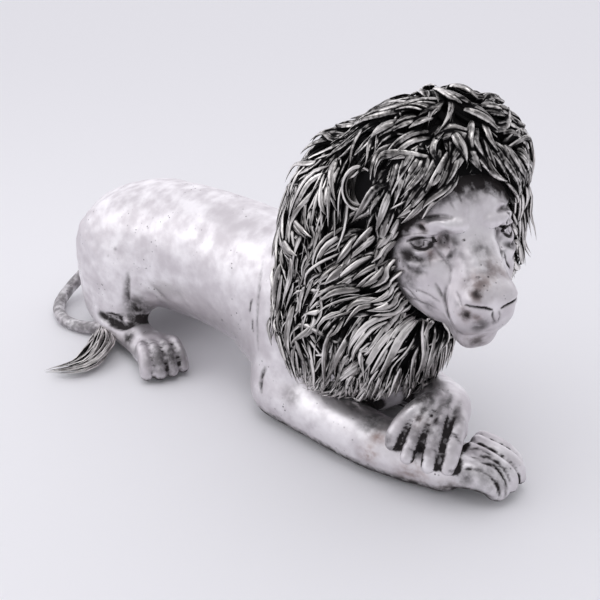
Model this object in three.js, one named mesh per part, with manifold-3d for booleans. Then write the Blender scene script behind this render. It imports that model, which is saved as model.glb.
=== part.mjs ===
// A lying lion welded up from forged steel: a hammered sheet skin with head and legs, a mane of
// pointed strips laid over the neck, a bent bar for a tail, and a tuft of strips at its end.
// +X is the way the body points, +Y is the lion's left, +Z is up, and the floor is at z = 0.
import * as THREE from "three";
import { mergeVertices } from "three/addons/utils/BufferGeometryUtils.js";
import Module from "manifold-3d";

const wasm = await Module();
wasm.setup();

// Driving sizes, in millimetres. The pose and the carving further down are drawn for a lion of
// drawnLength from the bend of the tail to the front toes, and follow figureLength.
const figureLength = 1250;
const drawnLength = 1250;
const weldGap = 0.4; // between pieces that are welded on one another
const tailBar = 28; // diameter of the bar that the tail is bent from
const lockThickness = 22; // a lock of the mane, which is a bundle of strips, at its point
const tuftStripWidth = 26;
const tuftStripThickness = 13;

const lockColumns = 50; // round the mane, every other one a ridge
const lockTiers = 6; // from the face to the breast and the back
const tuftStrips = 5;
const k = figureLength / drawnLength;
const up = new THREE.Vector3(0, 0, 1);
const sideways = new THREE.Vector3(0, 1, 0);
const hands = [-1, 1]; // the lion's right and left
const point = (x, y, z) => new THREE.Vector3(x, y, z).multiplyScalar(k);
const turn = (degrees) => THREE.MathUtils.degToRad(degrees);
const mix = THREE.MathUtils.lerp;

// The head looks to the lion's right. It is drawn in a frame of its own, from between the eyes.
const headYaw = turn(-27);
const betweenEyes = point(340, -26, 463);
const headPoint = (ahead, left, high) =>
  point(ahead, left, high).applyAxisAngle(up, headYaw).add(betweenEyes);

// A closed mesh as a solid that can be joined and cut.
function solid(geometry) {
  const bare = geometry.index ? geometry.toNonIndexed() : geometry.clone();
  bare.deleteAttribute("normal");
  bare.deleteAttribute("uv");
  const merged = mergeVertices(bare, 1e-3);
  return new wasm.Manifold(
    new wasm.Mesh({
      numProp: 3,
      vertProperties: merged.attributes.position.array,
      triVerts: new Uint32Array(merged.index.array),
    }),
  );
}

const join = (solids) => solids.reduce((all, one) => all.add(one));

// An ellipsoid with its poles above and below, then rolled, tipped nose down and turned to yaw.
function ball(at, radii, { yaw = 0, pitch = 0, roll = 0, around = 9, rows = 6, grow = 0 } = {}) {
  const shape = new THREE.SphereGeometry(1, around, rows).rotateX(Math.PI / 2);
  const [x, y, z] = radii.map((r) => r * k + grow);
  shape.scale(x, y, z).rotateX(turn(roll)).rotateY(turn(pitch)).rotateZ(yaw);
  return solid(shape.translate(at.x, at.y, at.z));
}

// Closed rings of points, joined into a skin and closed by a point at each end.
function skinOver(rings, start, end) {
  const around = rings[0].length;
  const shape = new THREE.BufferGeometry().setFromPoints([...rings.flat(), start, end]);
  const first = rings.length * around;
  const lastRing = first - around;
  const faces = [];
  for (let j = 0; j < around; j++) {
    const next = (j + 1) % around;
    for (let i = 0; i < lastRing; i += around) {
      faces.push(i + j, i + next, i + next + around, i + j, i + next + around, i + j + around);
    }
    faces.push(first, next, j, first + 1, lastRing + j, lastRing + next);
  }
  shape.setIndex(faces);
  return solid(shape);
}

// A smooth skin through elliptical stations { at, wide, tall } with rounded ends. Each ellipse is
// square to the path, and "wide" lies along side, or level where no side is given.
function limb(stations, { around = 10, steps = 2, grow = 0, side = null } = {}) {
  const path = new THREE.CatmullRomCurve3(stations.map((s) => s.at));
  const sizes = new THREE.CatmullRomCurve3(
    stations.map((s) => new THREE.Vector3(s.wide * k + grow, s.tall * k + grow, 0)),
  );
  const count = (stations.length - 1) * steps;
  const slices = Array.from({ length: count + 1 }, (_, i) => {
    const { x: wide, y: tall } = sizes.getPoint(i / count);
    return { at: path.getPoint(i / count), ahead: path.getTangent(i / count), wide, tall };
  });
  const first = slices[0];
  const last = slices[count];
  const tip = (slice, reach) => slice.at.clone().addScaledVector(slice.ahead, reach * slice.wide);
  const roundTo = turn(50);
  const closing = (slice, way) => ({
    at: tip(slice, way * Math.sin(roundTo)),
    ahead: slice.ahead,
    wide: slice.wide * Math.cos(roundTo),
    tall: slice.tall * Math.cos(roundTo),
  });
  const rings = [closing(first, -1), ...slices, closing(last, 1)].map(({ at, ahead, wide, tall }) => {
    const across = side ? side.clone() : new THREE.Vector3().crossVectors(up, ahead);
    across.addScaledVector(ahead, -across.dot(ahead)).normalize();
    const high = new THREE.Vector3().crossVectors(ahead, across);
    return Array.from({ length: around }, (_, j) => {
      const a = (j / around) * 2 * Math.PI;
      const place = at.clone().addScaledVector(across, wide * Math.cos(a));
      return place.addScaledVector(high, tall * Math.sin(a));
    });
  });
  return skinOver(rings, tip(first, -1), tip(last, 1));
}

// The trunk, from the rump to the breast, which reaches down between the forelegs.
function trunk(grow) {
  const sections = [
    [-644, 160, 72, 76],
    [-600, 172, 108, 114],
    [-505, 193, 130, 138],
    [-380, 209, 128, 147],
    [-250, 217, 122, 148],
    [-120, 210, 124, 154],
    [-20, 188, 128, 194],
    [70, 188, 122, 194],
    [135, 205, 98, 165],
  ];
  const stations = sections.map(([x, z, wide, tall]) => ({ at: point(x, 0, z), wide, tall }));
  return limb(stations, { around: 16, steps: 1, grow });
}

// The neck rises from the shoulders to the back of the skull, inside the mane.
function neck(grow) {
  const stations = [
    { at: point(30, 0, 240), wide: 100, tall: 110 },
    { at: point(235, 10, 440), wide: 84, tall: 92 },
  ];
  return limb(stations, { around: 8, steps: 1, grow });
}

// A haunch: the hip is broad, and the thigh narrows to a shank that stands on the floor.
function haunch(hand, grow) {
  const stations = [
    { at: point(-470, hand * 60, 248), wide: 68, tall: 88 },
    { at: point(-500, hand * 92, 184), wide: 64, tall: 140 },
    { at: point(-514, hand * 112, 106), wide: 50, tall: 116 },
    { at: point(-526, hand * 122, 44), wide: 38, tall: 84 },
  ];
  return limb(stations, { steps: 1, grow, side: sideways });
}

// A paw: a pad with four toes side by side in front of it. It points along yaw, and pitch drops
// its toes.
function paw(at, { yaw, pitch = 0, width, length, height, grow = 0 }) {
  const toes = 4;
  const toeWidth = width / toes;
  const across = sideways.clone().applyAxisAngle(up, yaw);
  const ahead = new THREE.Vector3(1, 0, 0).applyAxisAngle(sideways, turn(pitch));
  ahead.applyAxisAngle(up, yaw);
  const pad = ball(at, [length * 0.56, width * 0.47, height * 0.56], { yaw, pitch, grow });
  const spread = Array.from({ length: toes }, (_, i) => {
    const place = i - (toes - 1) / 2;
    const reach = length * (0.54 - 0.045 * place * place);
    const toe = at.clone().addScaledVector(across, place * toeWidth * k);
    toe.addScaledVector(ahead, reach * k);
    const radii = [length * 0.34, toeWidth * 0.6, height * 0.45];
    return ball(toe, radii, { yaw: yaw - place * 0.06, pitch, around: 7, rows: 4, grow });
  });
  return join([pad, ...spread]);
}

// A hind foot lies flat, ahead of the shank and a little outwards.
function hindFoot(hand, grow) {
  const foot = limb(
    [
      { at: point(-500, hand * 128, 40), wide: 34, tall: 36 },
      { at: point(-350, hand * 150, 32), wide: 40, tall: 32 },
    ],
    { around: 8, steps: 1, grow },
  );
  const toes = { yaw: turn(hand * 22), width: 104, length: 96, height: 68, grow };
  return foot.add(paw(point(-324, hand * 152, 33), toes));
}

const hindLeg = (hand, grow) => haunch(hand, grow).add(hindFoot(hand, grow));

// The upper part of a foreleg, from the shoulder down to the elbow on the floor.
function shoulder(hand, grow) {
  const stations = [
    { at: point(40, hand * 66, 215), wide: 62, tall: 96 },
    { at: point(10, hand * 88, 125), wide: 52, tall: 78 },
    { at: point(6, hand * 98, 74), wide: 48, tall: 56 },
  ];
  return limb(stations, { steps: 1, grow, side: sideways });
}

// The right foreleg lies straight ahead on the floor.
function rightForeleg(grow) {
  const stations = [
    { at: point(0, -98, 56), wide: 54, tall: 60 },
    { at: point(120, -102, 53), wide: 54, tall: 57 },
    { at: point(250, -104, 48), wide: 48, tall: 51 },
    { at: point(380, -90, 43), wide: 44, tall: 44 },
  ];
  return limb(stations, { steps: 1, grow }).add(shoulder(-1, grow));
}

// The left foreleg comes from beside the breast, and crosses over the right foreleg.
function leftForeleg(grow) {
  const stations = [
    { at: point(8, 100, 56), wide: 54, tall: 60 },
    { at: point(130, 98, 54), wide: 50, tall: 56 },
    { at: point(246, 56, 80), wide: 44, tall: 46 },
    { at: point(318, 0, 116), wide: 44, tall: 38 },
    { at: point(344, -50, 134), wide: 50, tall: 34 },
  ];
  return limb(stations, { steps: 1, grow }).add(shoulder(1, grow));
}

// The right forepaw lies ahead of its foreleg, and the left one hangs over the right foreleg.
function forepaws() {
  const lying = { yaw: turn(8), width: 98, length: 98, height: 86 };
  const hanging = { yaw: turn(-68), pitch: 40, width: 126, length: 92, height: 70 };
  return paw(point(420, -66, 44), lying).add(paw(point(360, -86, 126), hanging));
}

// An ear: an oval cup on a root, open ahead and outwards.
function ear(hand, grow) {
  const yaw = headYaw + hand * turn(28);
  const at = headPoint(-88, hand * 142, 60);
  const root = ball(headPoint(-92, hand * 100, 48), [20, 50, 22], { yaw: headYaw, around: 6, rows: 4, grow });
  if (grow) return ball(at, [24, 36, 43], { yaw, grow }).add(root);
  const half = [
    [0, -17],
    [0.62, -13],
    [1, 4],
    [0.8, 6],
    [0, -9],
  ];
  const profile = half.map(([out, ahead]) => new THREE.Vector2(out, ahead));
  const cup = new THREE.LatheGeometry(profile, 8).scale(31 * k, k, 38 * k);
  cup.rotateZ(-Math.PI / 2).rotateX(Math.PI).rotateZ(yaw).translate(at.x, at.y, at.z);
  return solid(cup).add(root);
}

// Skull, forehead, nose, lips, chin, cheeks, brows, eyes and ears.
function head(grow) {
  const lump = (at, radii, how = {}) => ball(headPoint(...at), radii, { yaw: headYaw, grow, ...how });
  const noseStations = [
    { at: headPoint(2, 0, -12), wide: 50, tall: 44 },
    { at: headPoint(36, 0, -48), wide: 38, tall: 42 },
    { at: headPoint(78, 0, -78), wide: 40, tall: 36 },
  ];
  const pieces = [
    lump([-72, 0, 8], [102, 92, 86]),
    lump([-36, 0, 38], [62, 88, 70]),
    limb(noseStations, { grow }),
    lump([66, 0, -134], [36, 38, 44], { around: 9, rows: 6 }),
    lump([102, 0, -64], [15, 27, 17], { around: 8, rows: 5 }),
  ];
  for (const hand of hands) {
    pieces.push(
      lump([78, hand * 28, -96], [34, 29, 34], { around: 9, rows: 6 }),
      lump([-16, hand * 54, -60], [60, 40, 52]),
      lump([4, hand * 50, 22], [24, 34, 14], { around: 8, rows: 5, roll: hand * -14 }),
      lump([-4, hand * 65, -6], [15, 15, 11], { around: 8, rows: 5 }),
      ear(hand, grow),
    );
  }
  if (grow) return join(pieces);
  const nostrils = hands.map((hand) =>
    lump([116, hand * 20, -72], [11, 13, 5], { around: 6, rows: 4, roll: hand * 20 }),
  );
  const mouth = lump([100, 0, -124], [42, 44, 5], { around: 8, rows: 4, pitch: 14 });
  return join(pieces).subtract(join([...nostrils, mouth]));
}

// What the mane is laid over. The mane's hollow is the same form, larger by the weld gap.
const underMane = (grow) =>
  join([trunk, neck, rightForeleg, leftForeleg, head].map((form) => form(grow)));

// Everything below the floor is cut away, so that the paws, forearms and breast stand flat.
function floorCut(shape) {
  const size = 4 * figureLength;
  const above = new THREE.BoxGeometry(size, size, size).translate(0, 0, size / 2);
  return shape.intersect(solid(above));
}

function body() {
  return floorCut(join([underMane(0), forepaws(), hindLeg(-1, 0), hindLeg(1, 0)]));
}

// The mass of the mane: crown, nape, ruff, beard, breast, and a fall over each shoulder.
const maneLumps = [
  { at: headPoint(-104, 0, 62), radii: [120, 152, 136], yaw: headYaw },
  { at: point(122, 8, 458), radii: [124, 136, 124], yaw: 0 },
  { at: point(116, 0, 340), radii: [146, 160, 188], yaw: 0 },
  { at: headPoint(-80, 0, -84), radii: [82, 144, 92], yaw: headYaw },
  { at: point(188, -20, 262), radii: [122, 134, 128], yaw: 0 },
  ...hands.map((hand) => ({ at: point(118, hand * 78, 232), radii: [96, 92, 98], yaw: 0 })),
];

// How far a place is outside the mass of the mane, with its lumps melted together.
function outside(place) {
  const soft = 14 * k;
  const sum = maneLumps.reduce((total, { at, radii, yaw }) => {
    const away = place.clone().sub(at).applyAxisAngle(up, -yaw).divide(new THREE.Vector3(...radii));
    const far = (away.length() / k - 1) * Math.min(...radii) * k;
    return total + Math.exp(-far / soft);
  }, 0);
  return -soft * Math.log(sum);
}

// A value from 0 to 1 that looks random and is the same every time.
const chance = (n) => THREE.MathUtils.euclideanModulo(Math.sin(n * 127.1 + 11.7) * 43758.5453, 1);

// A pointed strip along a path, flat below, with one ridge along its back.
function strip(path, width, thickness) {
  const last = path.length - 1;
  const rings = path.slice(1, last).map((at, n) => {
    const i = n + 1;
    const ahead = path[i + 1].clone().sub(path[i - 1]).normalize();
    const across = new THREE.Vector3().crossVectors(up, ahead).normalize();
    const high = new THREE.Vector3().crossVectors(ahead, across);
    const full = Math.sin(Math.PI * mix(0.2, 0.96, i / last));
    const corner = (out, rise) => {
      const place = at.clone().addScaledVector(across, (out * width * full) / 2);
      return place.addScaledVector(high, rise * thickness * full);
    };
    return [corner(1, -0.3), corner(0, 0.7), corner(-1, -0.3)];
  });
  return skinOver(rings, path[0], path[last]);
}

// The mane: tiers of pointed locks like shingles, which run from the face over the mass and meet
// low behind the breast. Each lock rises to its point and drops onto the next tier.
function mane() {
  const middle = point(170, -8, 365);
  const front = headPoint(30, 0, -40).sub(middle).normalize();
  const end = new THREE.Vector3(-0.45, 0, -0.9).normalize();
  const high = front.clone().add(end).normalize();
  const across = end.clone().sub(front).cross(high).normalize();
  const rise = [0.3, 0.8, 1];
  const shareOfTier = [0, 0.42, 0.86];
  const onRay = (toFront, round, lift) => {
    const way = high.clone().multiplyScalar(Math.cos(round)).addScaledVector(across, Math.sin(round));
    way.multiplyScalar(3 * toFront * (1 - toFront)).addScaledVector(front, (1 - toFront) ** 2);
    way.addScaledVector(end, toFront ** 2).normalize();
    let far = 200 * k;
    for (let i = 0; i < 8; i++) far -= outside(middle.clone().addScaledVector(way, far));
    return middle.clone().addScaledVector(way, far + lift - lockThickness / 2);
  };
  const rings = Array.from({ length: lockTiers * rise.length }, (_, row) => {
    const tier = Math.floor(row / rise.length);
    const step = row % rise.length;
    return Array.from({ length: lockColumns }, (_, column) => {
      const ridge = (column + tier) % 2 === 0;
      const stray = chance(tier * lockColumns + column) - 0.5;
      const share = (tier + shareOfTier[step] + (ridge ? 0.3 : 0.1) * stray) / lockTiers;
      const round = ((column + 0.5 * stray) / lockColumns) * 2 * Math.PI;
      return onRay(mix(0.1, 0.93, share), round, ridge ? rise[step] * lockThickness : 0);
    });
  });
  return skinOver(rings, onRay(0, 0, 0), onRay(1, 0, 0)).subtract(underMane(weldGap));
}

// The tail leaves the rump, comes round on the floor and ends beside the right hind foot.
function tailPath() {
  const rest = new THREE.Vector3(0, 0, tailBar / 2);
  const floor = (x, y, lift = 0) => point(x, y, lift).add(rest);
  return [
    point(-660, 14, 150),
    point(-716, -8, 92),
    floor(-738, -66, 26),
    floor(-702, -145, 2),
    floor(-630, -186, 0),
    floor(-560, -180, 1),
    floor(-505, -158, 12),
  ];
}

function tail() {
  const circle = new THREE.Shape().absarc(0, 0, tailBar / 2, 0, 2 * Math.PI);
  const bar = new THREE.ExtrudeGeometry(circle, {
    steps: 16,
    curveSegments: 4,
    extrudePath: new THREE.CatmullRomCurve3(tailPath()),
    bevelEnabled: false,
  });
  return floorCut(solid(bar)).subtract(trunk(weldGap).add(hindLeg(-1, weldGap)));
}

// The last stretch of the bar with the weld gap round it, for the tuft to be laid against.
function barEnd() {
  const size = (tailBar / 2 + weldGap) / k;
  const stations = tailPath().slice(-2).map((at) => ({ at, wide: size, tall: size }));
  return limb(stations, { around: 8, steps: 1 });
}

// The tuft: strips bundled at the tail's end, which fan out and come to a ragged point.
function tailTuft() {
  const course = new THREE.CatmullRomCurve3([
    tailPath().at(-1),
    point(-450, -206, 20),
    point(-408, -276, 12),
    point(-450, -344, 5),
  ]);
  const steps = 4;
  const strips = Array.from({ length: tuftStrips }, (_, n) => {
    const place = n - (tuftStrips - 1) / 2;
    const path = Array.from({ length: steps + 1 }, (_, i) => {
      const share = (i / steps) * mix(0.8, 1, chance(n));
      const across = new THREE.Vector3().crossVectors(up, course.getTangent(share)).normalize();
      const fan = place * tuftStripWidth * 0.5 * Math.sin(Math.PI * mix(0.12, 0.94, share));
      const stack = (n % 2) * tuftStripThickness * 0.6 * Math.sin(Math.PI * share);
      return course.getPoint(share).addScaledVector(across, fan).addScaledVector(up, stack);
    });
    return strip(path, tuftStripWidth, tuftStripThickness);
  });
  return floorCut(join(strips)).subtract(barEnd().add(hindLeg(-1, weldGap)));
}

// One mesh of the part, from the largest body of a solid.
function piece(name, shape, material) {
  const bodies = shape.decompose().sort((a, b) => b.volume() - a.volume());
  const { vertProperties, triVerts } = bodies[0].getMesh();
  const geometry = new THREE.BufferGeometry();
  geometry.setAttribute("position", new THREE.BufferAttribute(vertProperties, 3));
  geometry.setIndex(new THREE.BufferAttribute(triVerts, 1));
  const mesh = new THREE.Mesh(geometry, material);
  mesh.name = name;
  return mesh;
}

const brushedSteel = new THREE.MeshStandardMaterial({ color: 0xc9c6c8, roughness: 0.38, metalness: 1 });
const smokedSteel = new THREE.MeshStandardMaterial({ color: 0x8d8a86, roughness: 0.5, metalness: 1 });

const lion = new THREE.Group();
lion.add(
  piece("body", body(), brushedSteel),
  piece("mane", mane(), smokedSteel),
  piece("tail", tail(), brushedSteel),
  piece("tail_tuft", tailTuft(), smokedSteel),
);

export default lion;
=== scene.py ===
"""A lying lion welded up from forged steel, in a plain pale studio.

Its skin is hammered and ground sheet, its mane and tail tuft are hundreds of drawn-out strips
that are black between and bright on their edges, and its tail is one bent bar. Lengths are in
metres, apart from the tables of forms and the sizes of lumps, paws and ears, which are in
millimetres. Turns of forms are in degrees.
"""

import logging
import math
from dataclasses import dataclass, field
from enum import Enum

import bmesh
import bpy
import numpy as np
from mathutils import Matrix, Vector, noise
from mathutils.bvhtree import BVHTree


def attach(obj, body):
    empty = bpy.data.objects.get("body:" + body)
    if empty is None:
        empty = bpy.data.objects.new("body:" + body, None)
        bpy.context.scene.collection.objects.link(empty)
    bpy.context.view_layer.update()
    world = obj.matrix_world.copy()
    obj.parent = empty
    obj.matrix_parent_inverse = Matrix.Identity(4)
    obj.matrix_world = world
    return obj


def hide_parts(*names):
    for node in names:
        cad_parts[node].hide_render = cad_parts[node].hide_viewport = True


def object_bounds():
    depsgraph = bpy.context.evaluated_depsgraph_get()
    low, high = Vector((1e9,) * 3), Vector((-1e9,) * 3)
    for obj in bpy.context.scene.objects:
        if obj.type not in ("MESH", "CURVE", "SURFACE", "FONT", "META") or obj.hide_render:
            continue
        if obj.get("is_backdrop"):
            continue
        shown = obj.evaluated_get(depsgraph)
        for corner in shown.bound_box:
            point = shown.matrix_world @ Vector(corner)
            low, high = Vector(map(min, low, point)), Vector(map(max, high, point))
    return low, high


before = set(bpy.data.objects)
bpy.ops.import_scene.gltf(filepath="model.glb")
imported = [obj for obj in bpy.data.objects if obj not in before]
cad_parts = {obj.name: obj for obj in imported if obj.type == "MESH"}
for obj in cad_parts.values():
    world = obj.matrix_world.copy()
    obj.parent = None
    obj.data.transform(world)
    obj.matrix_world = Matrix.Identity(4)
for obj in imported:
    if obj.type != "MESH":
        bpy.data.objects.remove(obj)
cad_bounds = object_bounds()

# A place or a way.
Place = tuple[float, float, float]
Size = tuple[float, float, float]
Pixel = tuple[float, float]
Colour = tuple[float, float, float, float]

log = logging.getLogger("lion")
MM = 0.001
UP = Vector((0, 0, 1))
LEFT = Vector((0, 1, 0))
SEED = 41
# The lion's right and left, as signs of the way across it.
HANDS = (-1, 1)
# How far from a limb or a line the distance is still worked out.
FAR = 0.09
# The least that is divided by.
TINY = 1e-9


class Slot(Enum):
    """The names of the lion's material slots."""

    SKIN = "brushed_skin"
    STRIPS = "smoked_strips"


def spot(x: float, y: float, z: float) -> Vector:
    """A place given in millimetres."""
    return Vector((x, y, z)) * MM


def unit(rows: np.ndarray) -> np.ndarray:
    """Rows of vectors, each brought to a length of one."""
    return rows / np.maximum(np.linalg.norm(rows, axis=-1, keepdims=True), TINY)


def ease(low: float, high: float, value: np.ndarray) -> np.ndarray:
    """A smooth rise from 0 at low to 1 at high."""
    share = np.clip((value - low) / (high - low), 0, 1)
    return share * share * (3 - 2 * share)


def spline(knots: np.ndarray, run: np.ndarray) -> np.ndarray:
    """A smooth curve through rows of values.

    Args:
        knots: one row for each knot.
        run: places along the curve, counted in knots.

    Returns:
        One row for each place.
    """
    last = len(knots) - 1
    start = np.clip(run.astype(int), 0, last - 1)
    share = (run - start)[:, None]
    before, here = knots[np.maximum(start - 1, 0)], knots[start]
    there, after = knots[start + 1], knots[np.minimum(start + 2, last)]
    bend = 2 * before - 5 * here + 4 * there - after
    turn = 3 * (here - there) + after - before
    return here + 0.5 * share * (there - before + share * (bend + share * turn))


@dataclass(frozen=True)
class HeadFrame:
    """The head's own frame, in millimetres: from between the eyes, turned to the lion's right."""

    between_eyes: Place = (340, -26, 463)
    yaw: float = -27
    ear_back: float = 88
    ear_high: float = 60
    ear_out: tuple[float, float] = (142, 157)

    def turn(self) -> Matrix:
        """The turn of its axes."""
        return Matrix.Rotation(math.radians(self.yaw), 3, "Z")

    def place(self, ahead: float, left: float, high: float) -> Vector:
        """A place of the head, given in millimetres ahead, left and above."""
        return self.turn() @ spot(ahead, left, high) + spot(*self.between_eyes)

    def metre(self, ahead: float, left: float) -> Vector:
        """The way of one metre in it, ahead or to its left."""
        return self.place(ahead / MM, left / MM, 0) - self.place(0, 0, 0)

    def ear(self, hand: int, ahead: float = 0, out: float = 0, above: float = 0) -> Vector:
        """The middle of an ear on the lion's right (-1) or left (1), or a place beside it."""
        middle = self.ear_out[HANDS.index(hand)]
        return self.place(ahead - self.ear_back, hand * (middle + out), self.ear_high + above)

    def mirrored(self, points: np.ndarray) -> np.ndarray:
        """Places on the other side of the face."""
        across = np.array(self.turn() @ LEFT)
        away = (points - np.array(spot(*self.between_eyes))) @ across
        return points - 2 * away[..., None] * across


HEAD = HeadFrame()


@dataclass(frozen=True)
class PhotoEye:
    """The camera that took the photograph, in the lion's frame."""

    at: Place = (1.057, -1.167, 1.011)
    azimuth: float = math.radians(43.2)
    elevation: float = math.radians(26.9)
    focal_px: float = 900.0
    frame_px: float = 600.0
    sensor_mm: float = 36.0

    def back(self) -> Vector:
        """The way from the lion to the camera."""
        level = math.cos(self.elevation)
        return Vector(
            (math.sin(self.azimuth) * level, -math.cos(self.azimuth) * level, math.sin(self.elevation))
        )

    def axes(self) -> tuple[Vector, Vector, Vector]:
        """The ways ahead, to the right and up in the picture."""
        ahead = -self.back()
        right = ahead.cross(UP).normalized()
        return ahead, right, right.cross(ahead)

    def ray(self, pixel: Pixel) -> Vector:
        """The way in which the camera sees a pixel of the photograph."""
        ahead, right, high = self.axes()
        middle = self.frame_px / 2
        over, down = (pixel[0] - middle) / self.focal_px, (pixel[1] - middle) / self.focal_px
        return (ahead + right * over - high * down).normalized()

    def pixels(self, points: np.ndarray) -> np.ndarray:
        """Where the photograph shows some places: one row of two for each."""
        ahead, right, high = self.axes()
        away = points - np.array(self.at)
        deep = away @ np.array(ahead)
        over, rise = away @ np.array(right) / deep, away @ np.array(high) / deep
        middle = self.frame_px / 2
        return np.stack((middle + self.focal_px * over, middle - self.focal_px * rise), axis=-1)

    def on(self, tree: BVHTree, pixels: list[Pixel]) -> np.ndarray:
        """The places on a mesh that the photograph shows at these pixels.

        Args:
            tree: the mesh to look at.
            pixels: places in the photograph's frame.

        Returns:
            One row for each pixel that meets the mesh.
        """
        hits = [tree.ray_cast(Vector(self.at), self.ray(pixel))[0] for pixel in pixels]
        return np.array([hit for hit in hits if hit is not None]).reshape(-1, 3)

    def make(self) -> None:
        """Makes the camera the scene's own."""
        camera = bpy.data.cameras.new("photo_eye")
        camera.sensor_width = self.sensor_mm
        camera.lens = self.focal_px / self.frame_px * self.sensor_mm
        eye = bpy.data.objects.new("photo_eye", camera)
        eye.location = self.at
        eye.rotation_euler = (-self.back()).to_track_quat("-Z", "Y").to_euler()
        bpy.context.scene.collection.objects.link(eye)
        bpy.context.scene.camera = eye


EYE = PhotoEye()


@dataclass(frozen=True)
class Lump:
    """An ellipsoid, rolled, tipped nose down and turned to yaw; radii in millimetres."""

    at: Vector
    radii: Size
    yaw: float = 0.0
    pitch: float = 0.0
    roll: float = 0.0

    def turned(self) -> Matrix:
        """The turn of its axes."""
        yaw, pitch, roll = (math.radians(turn) for turn in (self.yaw, self.pitch, self.roll))
        tipped = Matrix.Rotation(yaw, 3, "Z") @ Matrix.Rotation(pitch, 3, "Y")
        return tipped @ Matrix.Rotation(roll, 3, "X")

    def distance(self, points: np.ndarray) -> np.ndarray:
        """How far places are outside it."""
        own = (points - np.array(self.at)) @ np.array(self.turned())
        radii = np.array(self.radii) * MM
        out = np.linalg.norm(own / radii, axis=1)
        return out * (out - 1) / np.maximum(np.linalg.norm(own / radii**2, axis=1), TINY)

    def raise_in(self, bm: bmesh.types.BMesh) -> None:
        """Adds it to a mesh."""
        grown = Matrix.Diagonal(Vector(self.radii) * MM).to_4x4()
        matrix = Matrix.Translation(self.at) @ self.turned().to_4x4() @ grown
        bmesh.ops.create_icosphere(bm, subdivisions=3, radius=1, matrix=matrix)


@dataclass
class Limb:
    """A smooth run of oval sections with round ends, from rows of (x, y, z, wide, tall) in mm."""

    rows: list[tuple[float, ...]]
    side: Vector | None = None
    square: float = 2.0
    steps: int = 4

    def __post_init__(self) -> None:
        """Works out the sections along the path."""
        knots = np.array(self.rows, float) * MM
        run = np.linspace(0, len(knots) - 1, (len(knots) - 1) * self.steps + 1)
        smooth = spline(knots, run)
        self.at, self.sizes = smooth[:, :3], smooth[:, 3:5]
        self.ahead = unit(np.gradient(self.at, axis=0))
        across = np.cross(np.array(UP), self.ahead)
        if self.side is not None:
            flat = self.ahead @ np.array(self.side)
            across = np.array(self.side) - flat[:, None] * self.ahead
        self.across = unit(across)
        self.high = np.cross(self.ahead, self.across)

    def distance(self, points: np.ndarray) -> np.ndarray:
        """How far places are outside it."""
        reach = self.sizes.max() + FAR
        near = np.all((points > self.at.min(0) - reach) & (points < self.at.max(0) + reach), axis=1)
        found = points[near]
        best = np.full(len(found), FAR)
        for i in range(len(self.at) - 1):
            step = self.at[i + 1] - self.at[i]
            share = np.clip((found - self.at[i]) @ step / (step @ step), 0, 1)[:, None]
            out = found - self.at[i] - share * step
            size = self.sizes[i] + share * (self.sizes[i + 1] - self.sizes[i])
            wide, tall = size[:, 0], size[:, 1]
            thin = np.minimum(wide, tall)
            over, rise = np.abs(out @ self.across[i]), np.abs(out @ self.high[i])
            past = out @ self.ahead[i]
            oval = ((over / wide) ** self.square + (rise / tall) ** self.square) ** (2 / self.square)
            scale = np.sqrt(oval + (past / thin) ** 2)
            slope = np.sqrt((over / wide**2) ** 2 + (rise / tall**2) ** 2 + (past / thin**2) ** 2)
            best = np.minimum(best, scale * (scale - 1) / np.maximum(slope, TINY))
        far = np.full(len(points), FAR)
        far[near] = best
        return far

    def raise_in(self, bm: bmesh.types.BMesh) -> None:
        """Adds it to a mesh, as a row of overlapping ellipsoids."""
        courses = zip(self.at, self.sizes, self.ahead, self.across, self.high)
        for at, size, ahead, across, high in courses:
            axes = Matrix((ahead, across, high)).transposed()
            grown = Matrix.Diagonal(Vector((min(size), size[0], size[1]))).to_4x4()
            matrix = Matrix.Translation(Vector(at)) @ axes.to_4x4() @ grown
            bmesh.ops.create_icosphere(bm, subdivisions=2, radius=1, matrix=matrix)


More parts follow.
